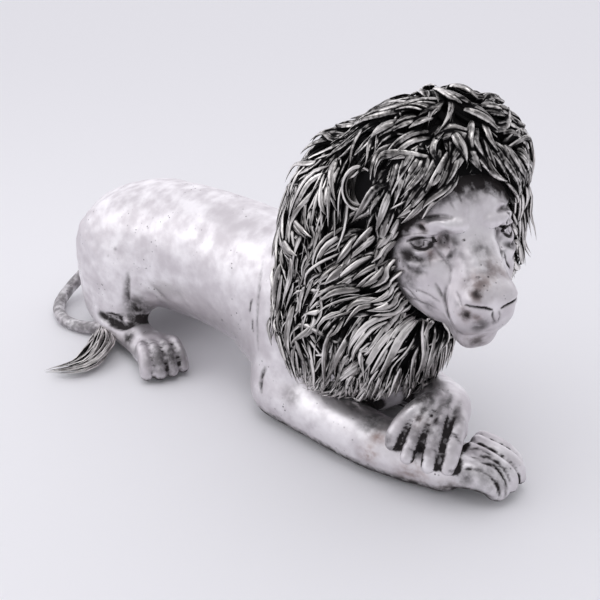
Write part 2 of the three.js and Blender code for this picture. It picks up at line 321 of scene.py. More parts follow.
@dataclass
class Mass:
    """Forms that are melted together, less the hollows pressed into them."""

    forms: "list[Lump | Limb | Mass]"
    soft: float
    hollows: list[Lump] = field(default_factory=list)
    bite: float = 0.003

    def distance(self, points: np.ndarray) -> np.ndarray:
        """How far places are outside it, with soft joins between its forms."""
        away = np.array([form.distance(points) for form in self.forms])
        least = away.min(axis=0)
        joined = least - self.soft * np.log(np.exp((least - away) / self.soft).sum(axis=0))
        for hollow in self.hollows:
            inside = -hollow.distance(points)
            most = np.maximum(joined, inside)
            pair = np.exp((joined - most) / self.bite) + np.exp((inside - most) / self.bite)
            joined = most + self.bite * np.log(pair)
        return joined

    def raise_in(self, bm: bmesh.types.BMesh) -> None:
        """Adds every form to a mesh."""
        for form in self.forms:
            form.raise_in(bm)

    def slope(self, points: np.ndarray, here: np.ndarray) -> np.ndarray:
        """The way out of it, as long as the distance grows in it.

        Args:
            points: the places.
            here: how far each is outside it.

        Returns:
            One row for each place.
        """
        nudge = 0.0005
        moved = [self.distance(points + nudge * axis) - here for axis in np.eye(3)]
        return np.array(moved).T / nudge

    def settled(
        self, points: np.ndarray, level: np.ndarray | float = 0.0, rounds: int = 4
    ) -> np.ndarray:
        """Places moved to stand a given height above its surface.

        Args:
            points: the places.
            level: the height of each above the surface.
            rounds: how many times they are moved.

        Returns:
            The moved places.
        """
        most = 0.012
        least_steep = 0.2
        for _ in range(rounds):
            away = self.distance(points)
            slope = self.slope(points, away)
            steep = np.maximum((slope**2).sum(axis=1), least_steep)
            step = np.clip((away - level) / steep, -most, most)
            points = points - step[:, None] * slope
        return points

    def mesh(self, name: str, voxel: float, level: float = 0.0) -> bpy.types.Mesh:
        """One closed skin over the whole mass.

        Args:
            name: the mesh's name.
            voxel: how fine the skin is.
            level: how far it stands off the surface.

        Returns:
            The mesh.
        """
        bm = bmesh.new()
        self.raise_in(bm)
        rough = bpy.data.meshes.new(name + "_rough")
        bm.to_mesh(rough)
        bm.free()
        lump = bpy.data.objects.new(name + "_rough", rough)
        remesh = lump.modifiers.new("skin", "REMESH")
        remesh.mode = "VOXEL"
        remesh.voxel_size = voxel
        mesh = mesh_of(lump, name)
        bpy.data.meshes.remove(rough)
        for rounds in (4, 2):
            move_points(mesh, self.settled(points_of(mesh), level, rounds))
            bm = bmesh.new()
            bm.from_mesh(mesh)
            bmesh.ops.smooth_vert(
                bm, verts=bm.verts, factor=0.5, use_axis_x=True, use_axis_y=True, use_axis_z=True
            )
            bm.to_mesh(mesh)
            bm.free()
        return mesh


def mesh_of(holder: bpy.types.Object, name: str) -> bpy.types.Mesh:
    """The mesh that an object comes to, once the object itself is taken away.

    Args:
        holder: the object, with its modifiers.
        name: the mesh's name.

    Returns:
        The mesh.
    """
    bpy.context.scene.collection.objects.link(holder)
    made = holder.evaluated_get(bpy.context.evaluated_depsgraph_get())
    mesh = bpy.data.meshes.new_from_object(made)
    mesh.name = name
    bpy.data.objects.remove(holder)
    return mesh


def points_of(mesh: bpy.types.Mesh) -> np.ndarray:
    """The places of a mesh's points."""
    flat = np.zeros(len(mesh.vertices) * 3)
    mesh.vertices.foreach_get("co", flat)
    return flat.reshape(-1, 3)


def normals_of(mesh: bpy.types.Mesh) -> np.ndarray:
    """The ways out of a mesh at its points."""
    flat = np.zeros(len(mesh.vertices) * 3)
    mesh.vertices.foreach_get("normal", flat)
    return flat.reshape(-1, 3)


def move_points(mesh: bpy.types.Mesh, points: np.ndarray) -> None:
    """Moves a mesh's points."""
    mesh.vertices.foreach_set("co", points.ravel())
    mesh.update()


def paint(mesh: bpy.types.Mesh, name: str, values: np.ndarray) -> None:
    """Keeps one value for each point of a mesh, for its finish to read."""
    layer = mesh.attributes.new(name, "FLOAT", "POINT")
    layer.data.foreach_set("value", values.astype(np.float32))


def tree_of(*meshes: bpy.types.Mesh) -> BVHTree:
    """Meshes made ready to be looked at."""
    bm = bmesh.new()
    for mesh in meshes:
        bm.from_mesh(mesh)
    tree = BVHTree.FromBMesh(bm)
    bm.free()
    return tree


def finished(
    mesh: bpy.types.Mesh, material: bpy.types.Material, slot: Slot, *nodes: str
) -> bpy.types.Object:
    """Makes a mesh a piece of the lion.

    Args:
        mesh: its mesh, in place.
        material: its finish.
        slot: the slot for it; not used.
        nodes: the CAD nodes that it stands for.

    Returns:
        The piece.
    """
    mesh.materials.clear()
    mesh.materials.append(material)
    mesh.shade_smooth()
    piece = bpy.data.objects.new(mesh.name, mesh)
    bpy.context.scene.collection.objects.link(piece)
    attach(piece, "root")
    if nodes:
        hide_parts(*nodes)
    mesh.calc_loop_triangles()
    log.info("%s: %d triangles", mesh.name, len(mesh.loop_triangles))
    return piece


@dataclass(frozen=True)
class Stroke:
    """A groove (deep below 0) or a ridge, drawn on the skin where the photograph shows it.

    It is as wide as twice the value of wide, and as dark as soot_and_shade says, which is black patina in
    some strokes and painted shade in others. Where both is true, the other side of the face has it too.
    """

    pixels: list[Pixel]
    wide: float
    deep: float
    soot_and_shade: float = 0.0
    both: bool = False


@dataclass(frozen=True)
class Stain:
    """A round smoky or rusty stain on the skin, where the photograph shows it; some of them, under the belly
    and at the forepaw's root, are painted shadow.
    """

    pixel: Pixel
    wide: float
    soot_and_shade: float = 0.0
    rust: float = 0.0


class Relief:
    """A skin that is being chased, hammered, stained and given painted shade."""

    # How many of its half widths away a tool still leaves a mark.
    tool_reach: float = 2.5
    # How closed a crease is where it begins to darken with black patina and painted shade, for each reach
    # that is felt for it.
    crease_from: tuple[float, float] = (0.14, 0.32)

    def __init__(self, mesh: bpy.types.Mesh) -> None:
        """Takes the mesh to be worked on."""
        self.mesh = mesh
        self.points = points_of(mesh)
        self.out = normals_of(mesh)
        self.tree = tree_of(mesh)
        self.soot_and_shade = np.zeros(len(self.points))
        self.rust = np.zeros(len(self.points))

    def near(self, line: np.ndarray, wide: float) -> tuple[np.ndarray, np.ndarray]:
        """The points near a line, and how strongly a tool of this width meets them.

        Args:
            line: the places along the line.
            wide: the tool's half width.

        Returns:
            The numbers of the points, and a share from 0 to 1 for each.
        """
        reach = self.tool_reach * wide
        low, high = line.min(0) - reach, line.max(0) + reach
        box = np.all((self.points > low) & (self.points < high), axis=1)
        which = np.nonzero(box)[0]
        found = self.points[which]
        best = np.full(len(found), FAR)
        taper = np.ones(len(found))
        count = max(len(line) - 1, 1)
        for i in range(len(line) - 1):
            step = line[i + 1] - line[i]
            share = np.clip((found - line[i]) @ step / max(step @ step, 1e-12), 0, 1)
            away = np.linalg.norm(found - line[i] - share[:, None] * step, axis=1)
            closer = away < best
            best[closer] = away[closer]
            taper[closer] = np.sin(np.pi * (0.12 + 0.76 * (i + share[closer]) / count))
        return which, np.exp(-((best / wide) ** 2)) * taper

    def draw(self, strokes: dict[str, Stroke]) -> None:
        """Presses named strokes into the skin, on both sides of the face where they say so."""
        moved = np.zeros(len(self.points))
        for stroke in strokes.values():
            seen = EYE.on(self.tree, stroke.pixels)
            if len(seen) < 2:
                continue
            line = spline(seen, np.linspace(0, len(seen) - 1, 4 * len(seen)))
            lines = [line]
            if stroke.both:
                other = [self.tree.find_nearest(Vector(p))[0] for p in HEAD.mirrored(line)]
                lines.append(np.array(other))
            for course in lines:
                which, share = self.near(course, stroke.wide)
                moved[which] += stroke.deep * share
                self.soot_and_shade[which] = np.maximum(self.soot_and_shade[which], stroke.soot_and_shade * share**0.6)
        self.points = self.points + moved[:, None] * self.out

    def stain(self, stains: dict[str, Stain]) -> None:
        """Lays named stains on the skin."""
        for stain in stains.values():
            for middle in EYE.on(self.tree, [stain.pixel]):
                away = np.linalg.norm(self.points - middle, axis=1)
                share = np.exp(-((away / stain.wide) ** 2))
                self.soot_and_shade = np.maximum(self.soot_and_shade, stain.soot_and_shade * share)
                self.rust = np.maximum(self.rust, stain.rust * share)

    def blacken(self, mass: Mass, reach: float, closed_reach: float) -> None:
        """Darkens the creases, where the form closes round a point: black patina that they hold, and painted
        shade.

        Args:
            mass: the form under the skin.
            reach: how far out from the skin an open crease is felt for.
            closed_reach: how far out one is felt for that is more closed.
        """
        for wide, least in zip((reach, closed_reach), self.crease_from):
            away = mass.distance(self.points + wide * self.out)
            closed = 1 - away / wide
            self.soot_and_shade = np.maximum(self.soot_and_shade, 1.25 * ease(least, least + 0.45, closed))

    def shade_near(self, mass: Mass, reach: float, most: float) -> None:
        """Paints the shade that another form casts where the skin comes close to it.

        Args:
            mass: the other form.
            reach: how far the painted shade spreads from it.
            most: how much there is where they meet.
        """
        self.soot_and_shade = np.maximum(self.soot_and_shade, most * ease(reach, 0.0, mass.distance(self.points)))

    def shade_underside(self, high: float) -> None:
        """Paints shade on what faces the floor and is near to it: the shadow under the body."""
        down = ease(0.05, 0.75, -self.out[:, 2])
        near = ease(high, high * 0.35, self.points[:, 2])
        self.soot_and_shade = np.maximum(self.soot_and_shade, 0.9 * down * near)

    def hammer(self, deep: float, wide: float) -> None:
        """Leaves shallow dents all over, large and small, as a planishing hammer does."""
        places = [Vector(point) / wide for point in self.points]
        wave = [noise.noise(place) + 0.5 * noise.noise(place * 2.1) for place in places]
        self.points = self.points + deep * np.array(wave)[:, None] * self.out

    def done(self) -> bpy.types.Mesh:
        """Writes the work back, with what is below the floor pressed flat."""
        self.points[:, 2] = np.maximum(self.points[:, 2], 0)
        move_points(self.mesh, self.points)
        paint(self.mesh, "soot_and_shade", self.soot_and_shade)
        paint(self.mesh, "rust", self.rust)
        return self.mesh


class Graph:
    """A short way to write a material's or a group's nodes."""

    def __init__(self, tree: bpy.types.NodeTree) -> None:
        """Takes the tree to write in."""
        self.tree = tree

    def add(self, kind: str, settings: dict | None = None, **sockets: object) -> bpy.types.Node:
        """Adds a node.

        Args:
            kind: the node's type.
            settings: its properties.
            sockets: input names, with a value or an output that feeds each.

        Returns:
            The node.
        """
        node = self.tree.nodes.new(kind)
        for name, value in (settings or {}).items():
            setattr(node, name, value)
        for name, value in sockets.items():
            self.feed(node, name.replace("_", " "), value)
        return node

    def feed(self, node: bpy.types.Node, name: str | int, value: object) -> None:
        """Sets an input to a value, or links an output to it."""
        socket = node.inputs[name]
        if isinstance(value, bpy.types.NodeSocket):
            self.tree.links.new(value, socket)
        else:
            socket.default_value = value

    def dress(self, **sockets: object) -> None:
        """Feeds the material's own shader, by the names of its inputs."""
        for name, value in sockets.items():
            self.feed(self.tree.nodes["Principled BSDF"], name.replace("_", " "), value)

    def attribute(self, name: str, output: str = "Fac") -> bpy.types.NodeSocket:
        """What a piece's points keep under a name."""
        return self.add("ShaderNodeAttribute", {"attribute_name": name}).outputs[output]

    def noise(
        self, where: bpy.types.NodeSocket, scale: float, detail: float = 3.0
    ) -> bpy.types.NodeSocket:
        """A soft random pattern from 0 to 1."""
        return self.add("ShaderNodeTexNoise", Vector=where, Scale=scale, Detail=detail).outputs["Fac"]

    def ramp(
        self, value: object, low: float, high: float, start: float = 0.0, end: float = 1.0
    ) -> bpy.types.NodeSocket:
        """Stretches what lies between low and high to run from start to end."""
        node = self.add("ShaderNodeMapRange", {"interpolation_type": "SMOOTHSTEP"}, Value=value)
        for name, number in (("From Min", low), ("From Max", high), ("To Min", start), ("To Max", end)):
            node.inputs[name].default_value = number
        return node.outputs["Result"]

    def math(self, how: str, first: object, second: object) -> bpy.types.NodeSocket:
        """One sum on two values, kept from 0 to 1."""
        node = self.add("ShaderNodeMath", {"operation": how, "use_clamp": True})
        self.feed(node, 0, first)
        self.feed(node, 1, second)
        return node.outputs["Value"]

    def mix(self, share: object, first: object, second: object) -> bpy.types.NodeSocket:
        """A colour between two."""
        node = self.add("ShaderNodeMix", {"data_type": "RGBA"})
        self.feed(node, 0, share)
        self.feed(node, 6, first)
        self.feed(node, 7, second)
        return node.outputs[2]


def group(
    name: str, inputs: dict[str, float], outputs: tuple[str, ...]
) -> tuple[Graph, bpy.types.Node, bpy.types.Node]:
    """Starts a node group with a vector and some numbers going in, and values coming out.

    Args:
        name: the group's name.
        inputs: its numbers, with their usual values.
        outputs: the names of the values that it puts out.

    Returns:
        The group's graph, its input node and its output node.
    """
    tree = bpy.data.node_groups.new(name, "ShaderNodeTree")
    tree.interface.new_socket("Vector", in_out="INPUT", socket_type="NodeSocketVector")
    for label, usual in inputs.items():
        socket = tree.interface.new_socket(label, in_out="INPUT", socket_type="NodeSocketFloat")
        socket.default_value = usual
    for label in outputs:
        tree.interface.new_socket(label, in_out="OUTPUT", socket_type="NodeSocketFloat")
    return Graph(tree), tree.nodes.new("NodeGroupInput"), tree.nodes.new("NodeGroupOutput")


def hammered_group() -> bpy.types.NodeTree:
    """The surface of hammered and ground steel: its height, its cloudiness and its pits."""
    graph, source, sink = group(
        "hammered_steel", {"Dents": 34.0, "Grain": 420.0, "Pits": 90.0}, ("Height", "Cloud", "Pit")
    )
    where = source.outputs["Vector"]
    dents = graph.add("ShaderNodeTexNoise", Vector=where, Scale=source.outputs["Dents"], Detail=2.0)
    stretched = graph.add("ShaderNodeMapping", Vector=where)
    stretched.inputs["Scale"].default_value = (0.16, 1.0, 0.6)
    grain = graph.add(
        "ShaderNodeTexNoise", Vector=stretched.outputs[0], Scale=source.outputs["Grain"], Detail=4.0
    )
    cells = graph.add("ShaderNodeTexVoronoi", Vector=where, Scale=source.outputs["Pits"])
    few = graph.ramp(graph.noise(where, 13.0), 0.5, 0.68)
    pit = graph.math("MULTIPLY", graph.ramp(cells.outputs["Distance"], 0.2, 0.1), few)
    height = graph.math("ADD", graph.math("MULTIPLY", dents.outputs["Fac"], 0.8), 0.1)
    height = graph.math("ADD", height, graph.math("MULTIPLY", grain.outputs["Fac"], 0.06))
    graph.feed(sink, "Height", graph.math("SUBTRACT", height, graph.math("MULTIPLY", pit, 0.5)))
    cloud = graph.math("MULTIPLY", graph.noise(where, 6.5, 5.0), graph.noise(where, 29.0, 4.0))
    graph.feed(sink, "Cloud", graph.ramp(cloud, 0.12, 0.42))
    graph.feed(sink, "Pit", pit)
    return graph.tree


@dataclass(frozen=True)
class Finish:
    """What the lion's finishes share: a hammered surface, the bump that it makes and its gloss."""

    name: str
    bump: float
    bump_deep: float
    gloss: float

    def begin(
        self, surface: bpy.types.NodeTree, **scales: float
    ) -> tuple[bpy.types.Material, Graph, bpy.types.NodeSocket, bpy.types.Node]:
        """Starts the material.

        Args:
            surface: the hammered steel group.
            scales: the group's numbers that aren't its usual ones.

        Returns:
            The material, its graph, the place on the lion and the group's node.
        """
        material = bpy.data.materials.new(self.name)
        material.use_nodes = True
        graph = Graph(material.node_tree)
        where = graph.add("ShaderNodeTexCoord").outputs["Object"]
        steel = graph.add("ShaderNodeGroup", {"node_tree": surface}, Vector=where, **scales)
        height = steel.outputs["Height"]
        bump = graph.add("ShaderNodeBump", Height=height, Strength=self.bump, Distance=self.bump_deep)
        graph.dress(Normal=bump.outputs["Normal"], Specular_IOR_Level=self.gloss)
        return material, graph, where, steel


@dataclass(frozen=True)
class SteelFinish(Finish):
    """Ground sheet steel with clouds, pits, smoky patina, reddish heat tints and painted shade."""

    name: str = "brushed_steel"
    bump: float = 0.35
    bump_deep: float = 0.004
    gloss: float = 0.2
    bright: Colour = (0.88, 0.855, 0.875, 1)
    dull: Colour = (0.64, 0.605, 0.63, 1)
    # The dark of smoky patina and of pits, and of the painted shade that soot_and_shade lays on.
    dark_tone: Colour = (0.035, 0.03, 0.031, 1)
    rust: Colour = (0.3, 0.17, 0.13, 1)
    ragged_scale: float = 70.0

    def make(self, surface: bpy.types.NodeTree) -> bpy.types.Material:
        """Makes the material.

        Args:
            surface: the hammered steel group.

        Returns:
            The material.
        """
        material, graph, where, steel = self.begin(surface)
        cloud, pit = steel.outputs["Cloud"], steel.outputs["Pit"]
        ragged = graph.noise(where, self.ragged_scale, 5.0)
        # soot_and_shade is smoky patina in some places, and painted shade in creases, under the body and
        # beside the mane.
        soot_and_shade = graph.math("MULTIPLY", graph.attribute("soot_and_shade"), graph.ramp(ragged, 0.3, 0.64, 0.62, 1.15))
        soot_and_shade = graph.ramp(soot_and_shade, 0.05, 0.85)
        rust = graph.math("MULTIPLY", graph.attribute("rust"), graph.ramp(ragged, 0.35, 0.65, 0.2, 1.0))
        colour = graph.mix(cloud, self.dull, self.bright)
        colour = graph.mix(rust, colour, self.rust)
        colour = graph.mix(graph.math("MULTIPLY", pit, 0.8), colour, self.dark_tone)
        rough = graph.ramp(cloud, 0.0, 1.0, 0.54, 0.4)
        graph.dress(
            Base_Color=graph.mix(soot_and_shade, colour, self.dark_tone),
            Metallic=graph.ramp(soot_and_shade, 0.2, 1.0, 1.0, 0.4),
            Roughness=graph.math("ADD", rough, graph.math("MULTIPLY", soot_and_shade, 0.25)),
        )
        return material


@dataclass(frozen=True)
class StripFinish(Finish):
    """Forged strips: blackened, then worn bright where they stand out; where they are sunk among others, the
    black is patina and painted shade.
    """

    name: str = "smoked_strips"
    bump: float = 0.4
    bump_deep: float = 0.002
    gloss: float = 0.12
    bright: Colour = (0.86, 0.83, 0.81, 1)
    grey: Colour = (0.17, 0.16, 0.155, 1)
    # The black of patina and of painted shade, where the strips are sunk.
    black: Colour = (0.006, 0.0055, 0.006, 1)
    ragged_scale: float = 120.0
    dents: float = 110.0
    pits: float = 200.0

    def make(self, surface: bpy.types.NodeTree) -> bpy.types.Material:
        """Makes the material.

        Args:
            surface: the hammered steel group.

        Returns:
            The material.
        """
        material, graph, where, steel = self.begin(surface, Dents=self.dents, Pits=self.pits)
        streak = graph.noise(graph.attribute("grain", "Vector"), 1.5, 3.0)
        clouds = graph.ramp(steel.outputs["Cloud"], 0.0, 1.0, 0.0, 0.55)
        worn = graph.math("ADD", graph.ramp(graph.attribute("edge"), 0.4, 0.95, 0.0, 0.6), clouds)
        worn = graph.math("ADD", worn, graph.ramp(streak, 0.5, 0.68, 0.0, 0.8))
        ragged = graph.ramp(graph.noise(where, self.ragged_scale, 4.0), 0.3, 0.7, -0.12, 0.12)
        # sunk is patina and painted shade in the hollows among the strips.
        dark = graph.math("ADD", graph.attribute("sunk"), graph.ramp(streak, 0.32, 0.5, 0.22, 0.0))
        dark = graph.ramp(graph.math("ADD", dark, ragged), 0.17, 0.56)
        graph.dress(
            Base_Color=graph.mix(dark, graph.mix(worn, self.grey, self.bright), self.black),
            Metallic=graph.ramp(dark, 0.3, 1.0, 1.0, 0.1),
            Roughness=graph.ramp(dark, 0.0, 1.0, 0.28, 0.85),
        )
        return material


@dataclass(frozen=True)
class Paw:
    """A paw: a pad, and toes side by side on it; sizes in millimetres, turns in degrees."""

    at: Vector
    yaw: float
    wide: float
    long: float
    tall: float
    pitch: float = 0.0
    soft: float = 0.0016
    toes: int = 4
    toe_bend: tuple[tuple[float, float], ...] = ((0.12, 0.2), (0.4, 0.3), (0.68, 0.1), (0.8, -0.2))

    def pad(self) -> Lump:
        """The pad that its toes grow from."""
        radii = (self.long * 0.52, self.wide * 0.45, self.tall * 0.52)
        return Lump(self.at, radii, self.yaw, self.pitch)

    def mass(self, toes: list[Limb] | None = None) -> Mass:
        """Its form, with its usual toes or with others."""
        return Mass([self.pad(), *(toes or self.usual_toes())], self.soft)

    def usual_toes(self) -> list[Limb]:
        """Toes spread evenly, each bent down to its end."""
        turn = self.pad().turned()
        side = turn @ LEFT
        toe_wide = self.wide / self.toes
        limbs = []
        for i in range(self.toes):
            place = i - (self.toes - 1) / 2
            reach = self.long * (1 - 0.06 * place * place)
            rows = []
            for ahead, high in self.toe_bend:
                fan = toe_wide * place * (0.8 + 0.25 * ahead)
                at = self.at + turn @ spot(reach * ahead, fan, self.tall * high)
                thick = self.tall * (0.3 if high > 0 else 0.27)
                rows.append((*(at / MM), toe_wide * 0.53, thick))
            limbs.append(Limb(rows, side=side))
        return limbs


@dataclass
class Trunk:
    """The hammered skin of trunk, legs and paws."""

    voxel: float = 0.0047
    limb_soft: float = 0.011
    paw_soft: float = 0.004
    dent: float = 0.0012
    dent_wide: float = 0.045
    crease: float = 0.007
    closed_crease: float = 2.4
    underside_shade_height: float = 0.09

    def trunk(self) -> list[Limb]:
        """The barrel of the body and the neck."""
        return [
            Limb(
                [
                    (-644, 0, 160, 72, 76), (-600, 0, 172, 108, 114), (-505, 0, 193, 130, 138),
                    (-380, 0, 209, 128, 147), (-250, 0, 217, 122, 148), (-120, 0, 210, 124, 154),
                    (-20, 0, 188, 128, 194), (70, 0, 188, 122, 194), (135, 0, 205, 98, 165),
                ]
            ),
            Limb([(30, 0, 240, 100, 110), (235, 10, 440, 84, 92)]),
        ]

    def hind_leg(self, hand: int) -> list[Limb]:
        """A haunch and the foot under it, on the lion's right (-1) or left (1)."""
        haunch = [
            (-470, hand * 60, 248, 68, 88), (-500, hand * 92, 184, 64, 140),
            (-514, hand * 112, 106, 50, 116), (-526, hand * 122, 44, 38, 84),
        ]
        foot = [(-500, hand * 128, 40, 34, 36), (-350, hand * 150, 32, 40, 32)]
        return [Limb(haunch, side=LEFT), Limb(foot)]

    def forelegs(self) -> list[Limb]:
        """The shoulders, the right foreleg ahead and the left one laid across it."""
        shoulders = []
        for hand in HANDS:
            blade = [(40, hand * 66, 215, 62, 96), (10, hand * 88, 125, 52, 78), (6, hand * 98, 74, 48, 56)]
            shoulders.append(Limb(blade, side=LEFT))
        right = [
            (0, -98, 56, 54, 60), (120, -102, 53, 54, 57),
            (250, -102, 48, 48, 51), (368, -72, 45, 44, 46),
        ]
        left = [
            (8, 100, 56, 54, 60), (130, 98, 54, 50, 56), (246, 56, 80, 44, 46),
            (318, 0, 116, 44, 38), (344, -50, 134, 50, 34),
        ]
        return [*shoulders, Limb(right), Limb(left)]

    def lying_toes(self) -> list[Limb]:
        """The toes of the right forepaw, with a thick outer one."""
        toes = (
            [(376, -80, 52, 34, 36), (424, -68, 54, 28, 28), (454, -52, 44, 24, 26), (464, -44, 28, 21, 23)],
            [(404, -42, 76, 15, 16), (442, -36, 69, 15, 17), (468, -24, 50, 15, 17), (474, -20, 28, 14, 15)],
            [(402, -16, 78, 14, 16), (440, -6, 70, 14, 16), (466, 6, 50, 14, 16), (472, 9, 28, 13, 15)],
            [(396, 8, 72, 14, 15), (428, 20, 64, 14, 15), (450, 28, 46, 13, 15), (454, 30, 27, 13, 14)],
        )
        return [Limb(toe) for toe in toes]

    def hanging_toes(self) -> list[Limb]:
        """The toes of the left forepaw, which lies over the right foreleg, and its dewclaw."""
        toes = (
            [
                (332, -76, 168, 11, 11), (319, -114, 148, 13, 13),
                (315, -140, 126, 14, 14), (314, -148, 104, 13, 13),
            ],
            [
                (339, -60, 170, 11, 11), (343, -102, 149, 13, 13),
                (345, -128, 121, 14, 15), (348, -150, 93, 13, 13),
            ],
            [
                (352, -44, 163, 11, 11), (368, -92, 150, 12, 12),
                (376, -116, 120, 15, 15), (383, -138, 86, 13, 13),
            ],
            [
                (368, -30, 150, 11, 11), (394, -72, 142, 13, 13),
                (405, -100, 116, 15, 15), (410, -120, 86, 13, 13),
            ],
            [(312, -58, 142, 12, 12), (296, -82, 134, 8, 8)],
        )
        return [Limb(toe) for toe in toes]

    def mass(self) -> Mass:
        """The whole form, without the head."""
        legs = [*self.trunk(), *self.forelegs()]
        paws = []
        for hand in HANDS:
            legs += self.hind_leg(hand)
            hind_paw = Paw(spot(-324, hand * 152, 33), yaw=hand * 22, wide=104, long=92, tall=68)
            paws.append(hind_paw.mass())
        right_paw = Paw(spot(398, -34, 42), yaw=22, wide=84, long=84, tall=68)
        left_paw = Paw(spot(358, -78, 124), yaw=-68, wide=112, long=84, tall=54, pitch=40)
        paws += [right_paw.mass(self.lying_toes()), left_paw.mass(self.hanging_toes())]
        under_haunch = Lump(spot(-452, -186, 58), (46, 34, 9), roll=24)
        return Mass([Mass(legs, self.limb_soft), *paws], self.paw_soft, [under_haunch])

    def strokes(self) -> dict[str, Stroke]:
        """The creases and seams that show on it."""
        return {
            "thigh_front": Stroke([(128, 274), (127, 290), (128, 306), (132, 318)], 0.007, -0.007, 0.6),
            # under_haunch and under_belly: grooves whose black is painted shadow under the haunch and the
            # belly.
            "under_haunch": Stroke(
                [(100, 314), (112, 322), (126, 326), (144, 322), (158, 318)], 0.008, -0.009, 1.2
            ),
            "under_belly": Stroke([(150, 318), (168, 322), (188, 325), (208, 332)], 0.009, -0.003, 1.15),
            "flank_fold": Stroke([(150, 284), (166, 300), (184, 318), (204, 332)], 0.008, -0.003, 0.25),
            "shoulder_weld": Stroke([(263, 262), (259, 290), (257, 320), (258, 350)], 0.004, -0.002, 0.45),
            "weld_dash_high": Stroke([(252, 299), (250, 307), (249, 312)], 0.0022, -0.002, 1.0),
            "weld_dash_low": Stroke([(252, 320), (252, 326), (253, 331)], 0.0022, -0.002, 0.8),
            "elbow_fold": Stroke([(265, 368), (261, 378), (261, 392)], 0.004, -0.004, 0.8),
            "toe_fold_a": Stroke([(399, 437), (405, 441), (409, 447)], 0.0026, -0.003, 0.7),
            "toe_fold_b": Stroke([(410, 449), (416, 455), (415, 462)], 0.0026, -0.003, 0.8),
            "toe_fold_c": Stroke([(430, 448), (437, 452), (437, 462)], 0.0026, -0.003, 0.7),
            "toe_fold_d": Stroke([(449, 430), (456, 436), (461, 446)], 0.0026, -0.003, 0.7),
            # The tendon and wrist hollows are painted darker, as the shade in them.
            "tendon_hollow_a": Stroke([(427, 405), (421, 414), (415, 424)], 0.0055, -0.002, 0.75),
            "tendon_hollow_b": Stroke([(441, 404), (437, 416), (433, 430)], 0.0055, -0.002, 0.75),
            "tendon_hollow_c": Stroke([(456, 408), (453, 420), (449, 430)], 0.0055, -0.002, 0.75),
            "wrist_hollow": Stroke([(452, 396), (448, 404), (446, 412)], 0.006, -0.002, 0.6),
            "lying_toe_fold": Stroke([(450, 471), (468, 469), (482, 471)], 0.003, -0.0025, 0.9),
            "lying_toe_gap": Stroke(
                [(482, 472), (492, 478), (498, 487), (500, 497), (499, 504)], 0.0024, -0.004, 1.1
            ),
            "lying_toe_gap_middle": Stroke(
                [(482, 463), (492, 465), (500, 472), (506, 484), (506, 496)], 0.0024, -0.004, 1.1
            ),
            "lying_toe_gap_high": Stroke(
                [(472, 457), (486, 457), (498, 463), (506, 472), (511, 484)], 0.0022, -0.003, 1.0
            ),
            "lying_toe_line_top": Stroke([(468, 449), (480, 449), (492, 456)], 0.0022, -0.003, 0.8),
            "hind_toe_fold": Stroke([(140, 345), (152, 342), (166, 343), (180, 340)], 0.003, -0.0025, 0.6),
            "hind_dark_side": Stroke([(184, 344), (188, 353), (189, 364)], 0.006, -0.001, 1.1),
        }

    def stains(self) -> dict[str, Stain]:
        """The smoky patches and the heat tints on it, and the painted shadow under the belly."""
        return {
            "forearm_smoke": Stain((374, 420), 0.034, soot_and_shade=0.62),
            "forearm_smoke_low": Stain((388, 444), 0.03, soot_and_shade=0.5),
            "forearm_rust": Stain((368, 453), 0.016, rust=0.85),
            "forearm_rust_high": Stain((378, 437), 0.014, rust=0.7),
            "wrist_rust": Stain((412, 474), 0.03, rust=0.5, soot_and_shade=0.2),
            "wrist_smoke": Stain((449, 488), 0.022, soot_and_shade=0.6, rust=0.4),
            "wrist_smoke_side": Stain((466, 478), 0.02, soot_and_shade=0.55),
            # Painted shadow at the root of the left forepaw, under the mane.
            "paw_root_shadow": Stain((424, 396), 0.034, soot_and_shade=0.7),
            "paw_middle_rust": Stain((421, 422), 0.012, soot_and_shade=0.3, rust=0.6),
            "paw_back_smoke": Stain((458, 420), 0.02, soot_and_shade=0.4),
            "paw_patina": Stain((428, 432), 0.06, soot_and_shade=0.48),
            "lying_paw_patina": Stain((492, 474), 0.05, soot_and_shade=0.42),
            "hind_paw_patina": Stain((168, 356), 0.05, soot_and_shade=0.62),
            # Painted shadow under the belly, where it meets the haunch and the floor.
            "belly_shadow": Stain((138, 308), 0.034, soot_and_shade=0.75),
            "belly_shadow_low": Stain((160, 316), 0.03, soot_and_shade=0.75),
            "flank_shadow": Stain((178, 322), 0.03, soot_and_shade=0.5),
            "hind_foot_smoke": Stain((128, 338), 0.02, soot_and_shade=0.7),
            "under_mane_smoke": Stain((292, 396), 0.03, soot_and_shade=0.35),
            "haunch_speck": Stain((115, 249), 0.006, soot_and_shade=0.4),
            "haunch_speck_low": Stain((108, 256), 0.005, soot_and_shade=0.35),
            "flank_speck": Stain((132, 252), 0.012, soot_and_shade=0.16),
            "breast_speck": Stain((222, 320), 0.004, soot_and_shade=0.7),
        }

    def build(self, steel: bpy.types.Material) -> Mass:
        """Makes the skin.

        Args:
            steel: its finish.

        Returns:
            Its form, for the mane to be laid on.
        """
        mass = self.mass()
        relief = Relief(mass.mesh("skin", self.voxel))
        # Creases are darkened with black patina and painted shade.
        relief.blacken(mass, self.crease, self.crease * self.closed_crease)
        # Painted shadow on the underside near the floor.
        relief.shade_underside(self.underside_shade_height)
        relief.draw(self.strokes())
        relief.stain(self.stains())
        relief.hammer(self.dent, self.dent_wide)
        finished(relief.done(), steel, Slot.SKIN, "body")
        return mass


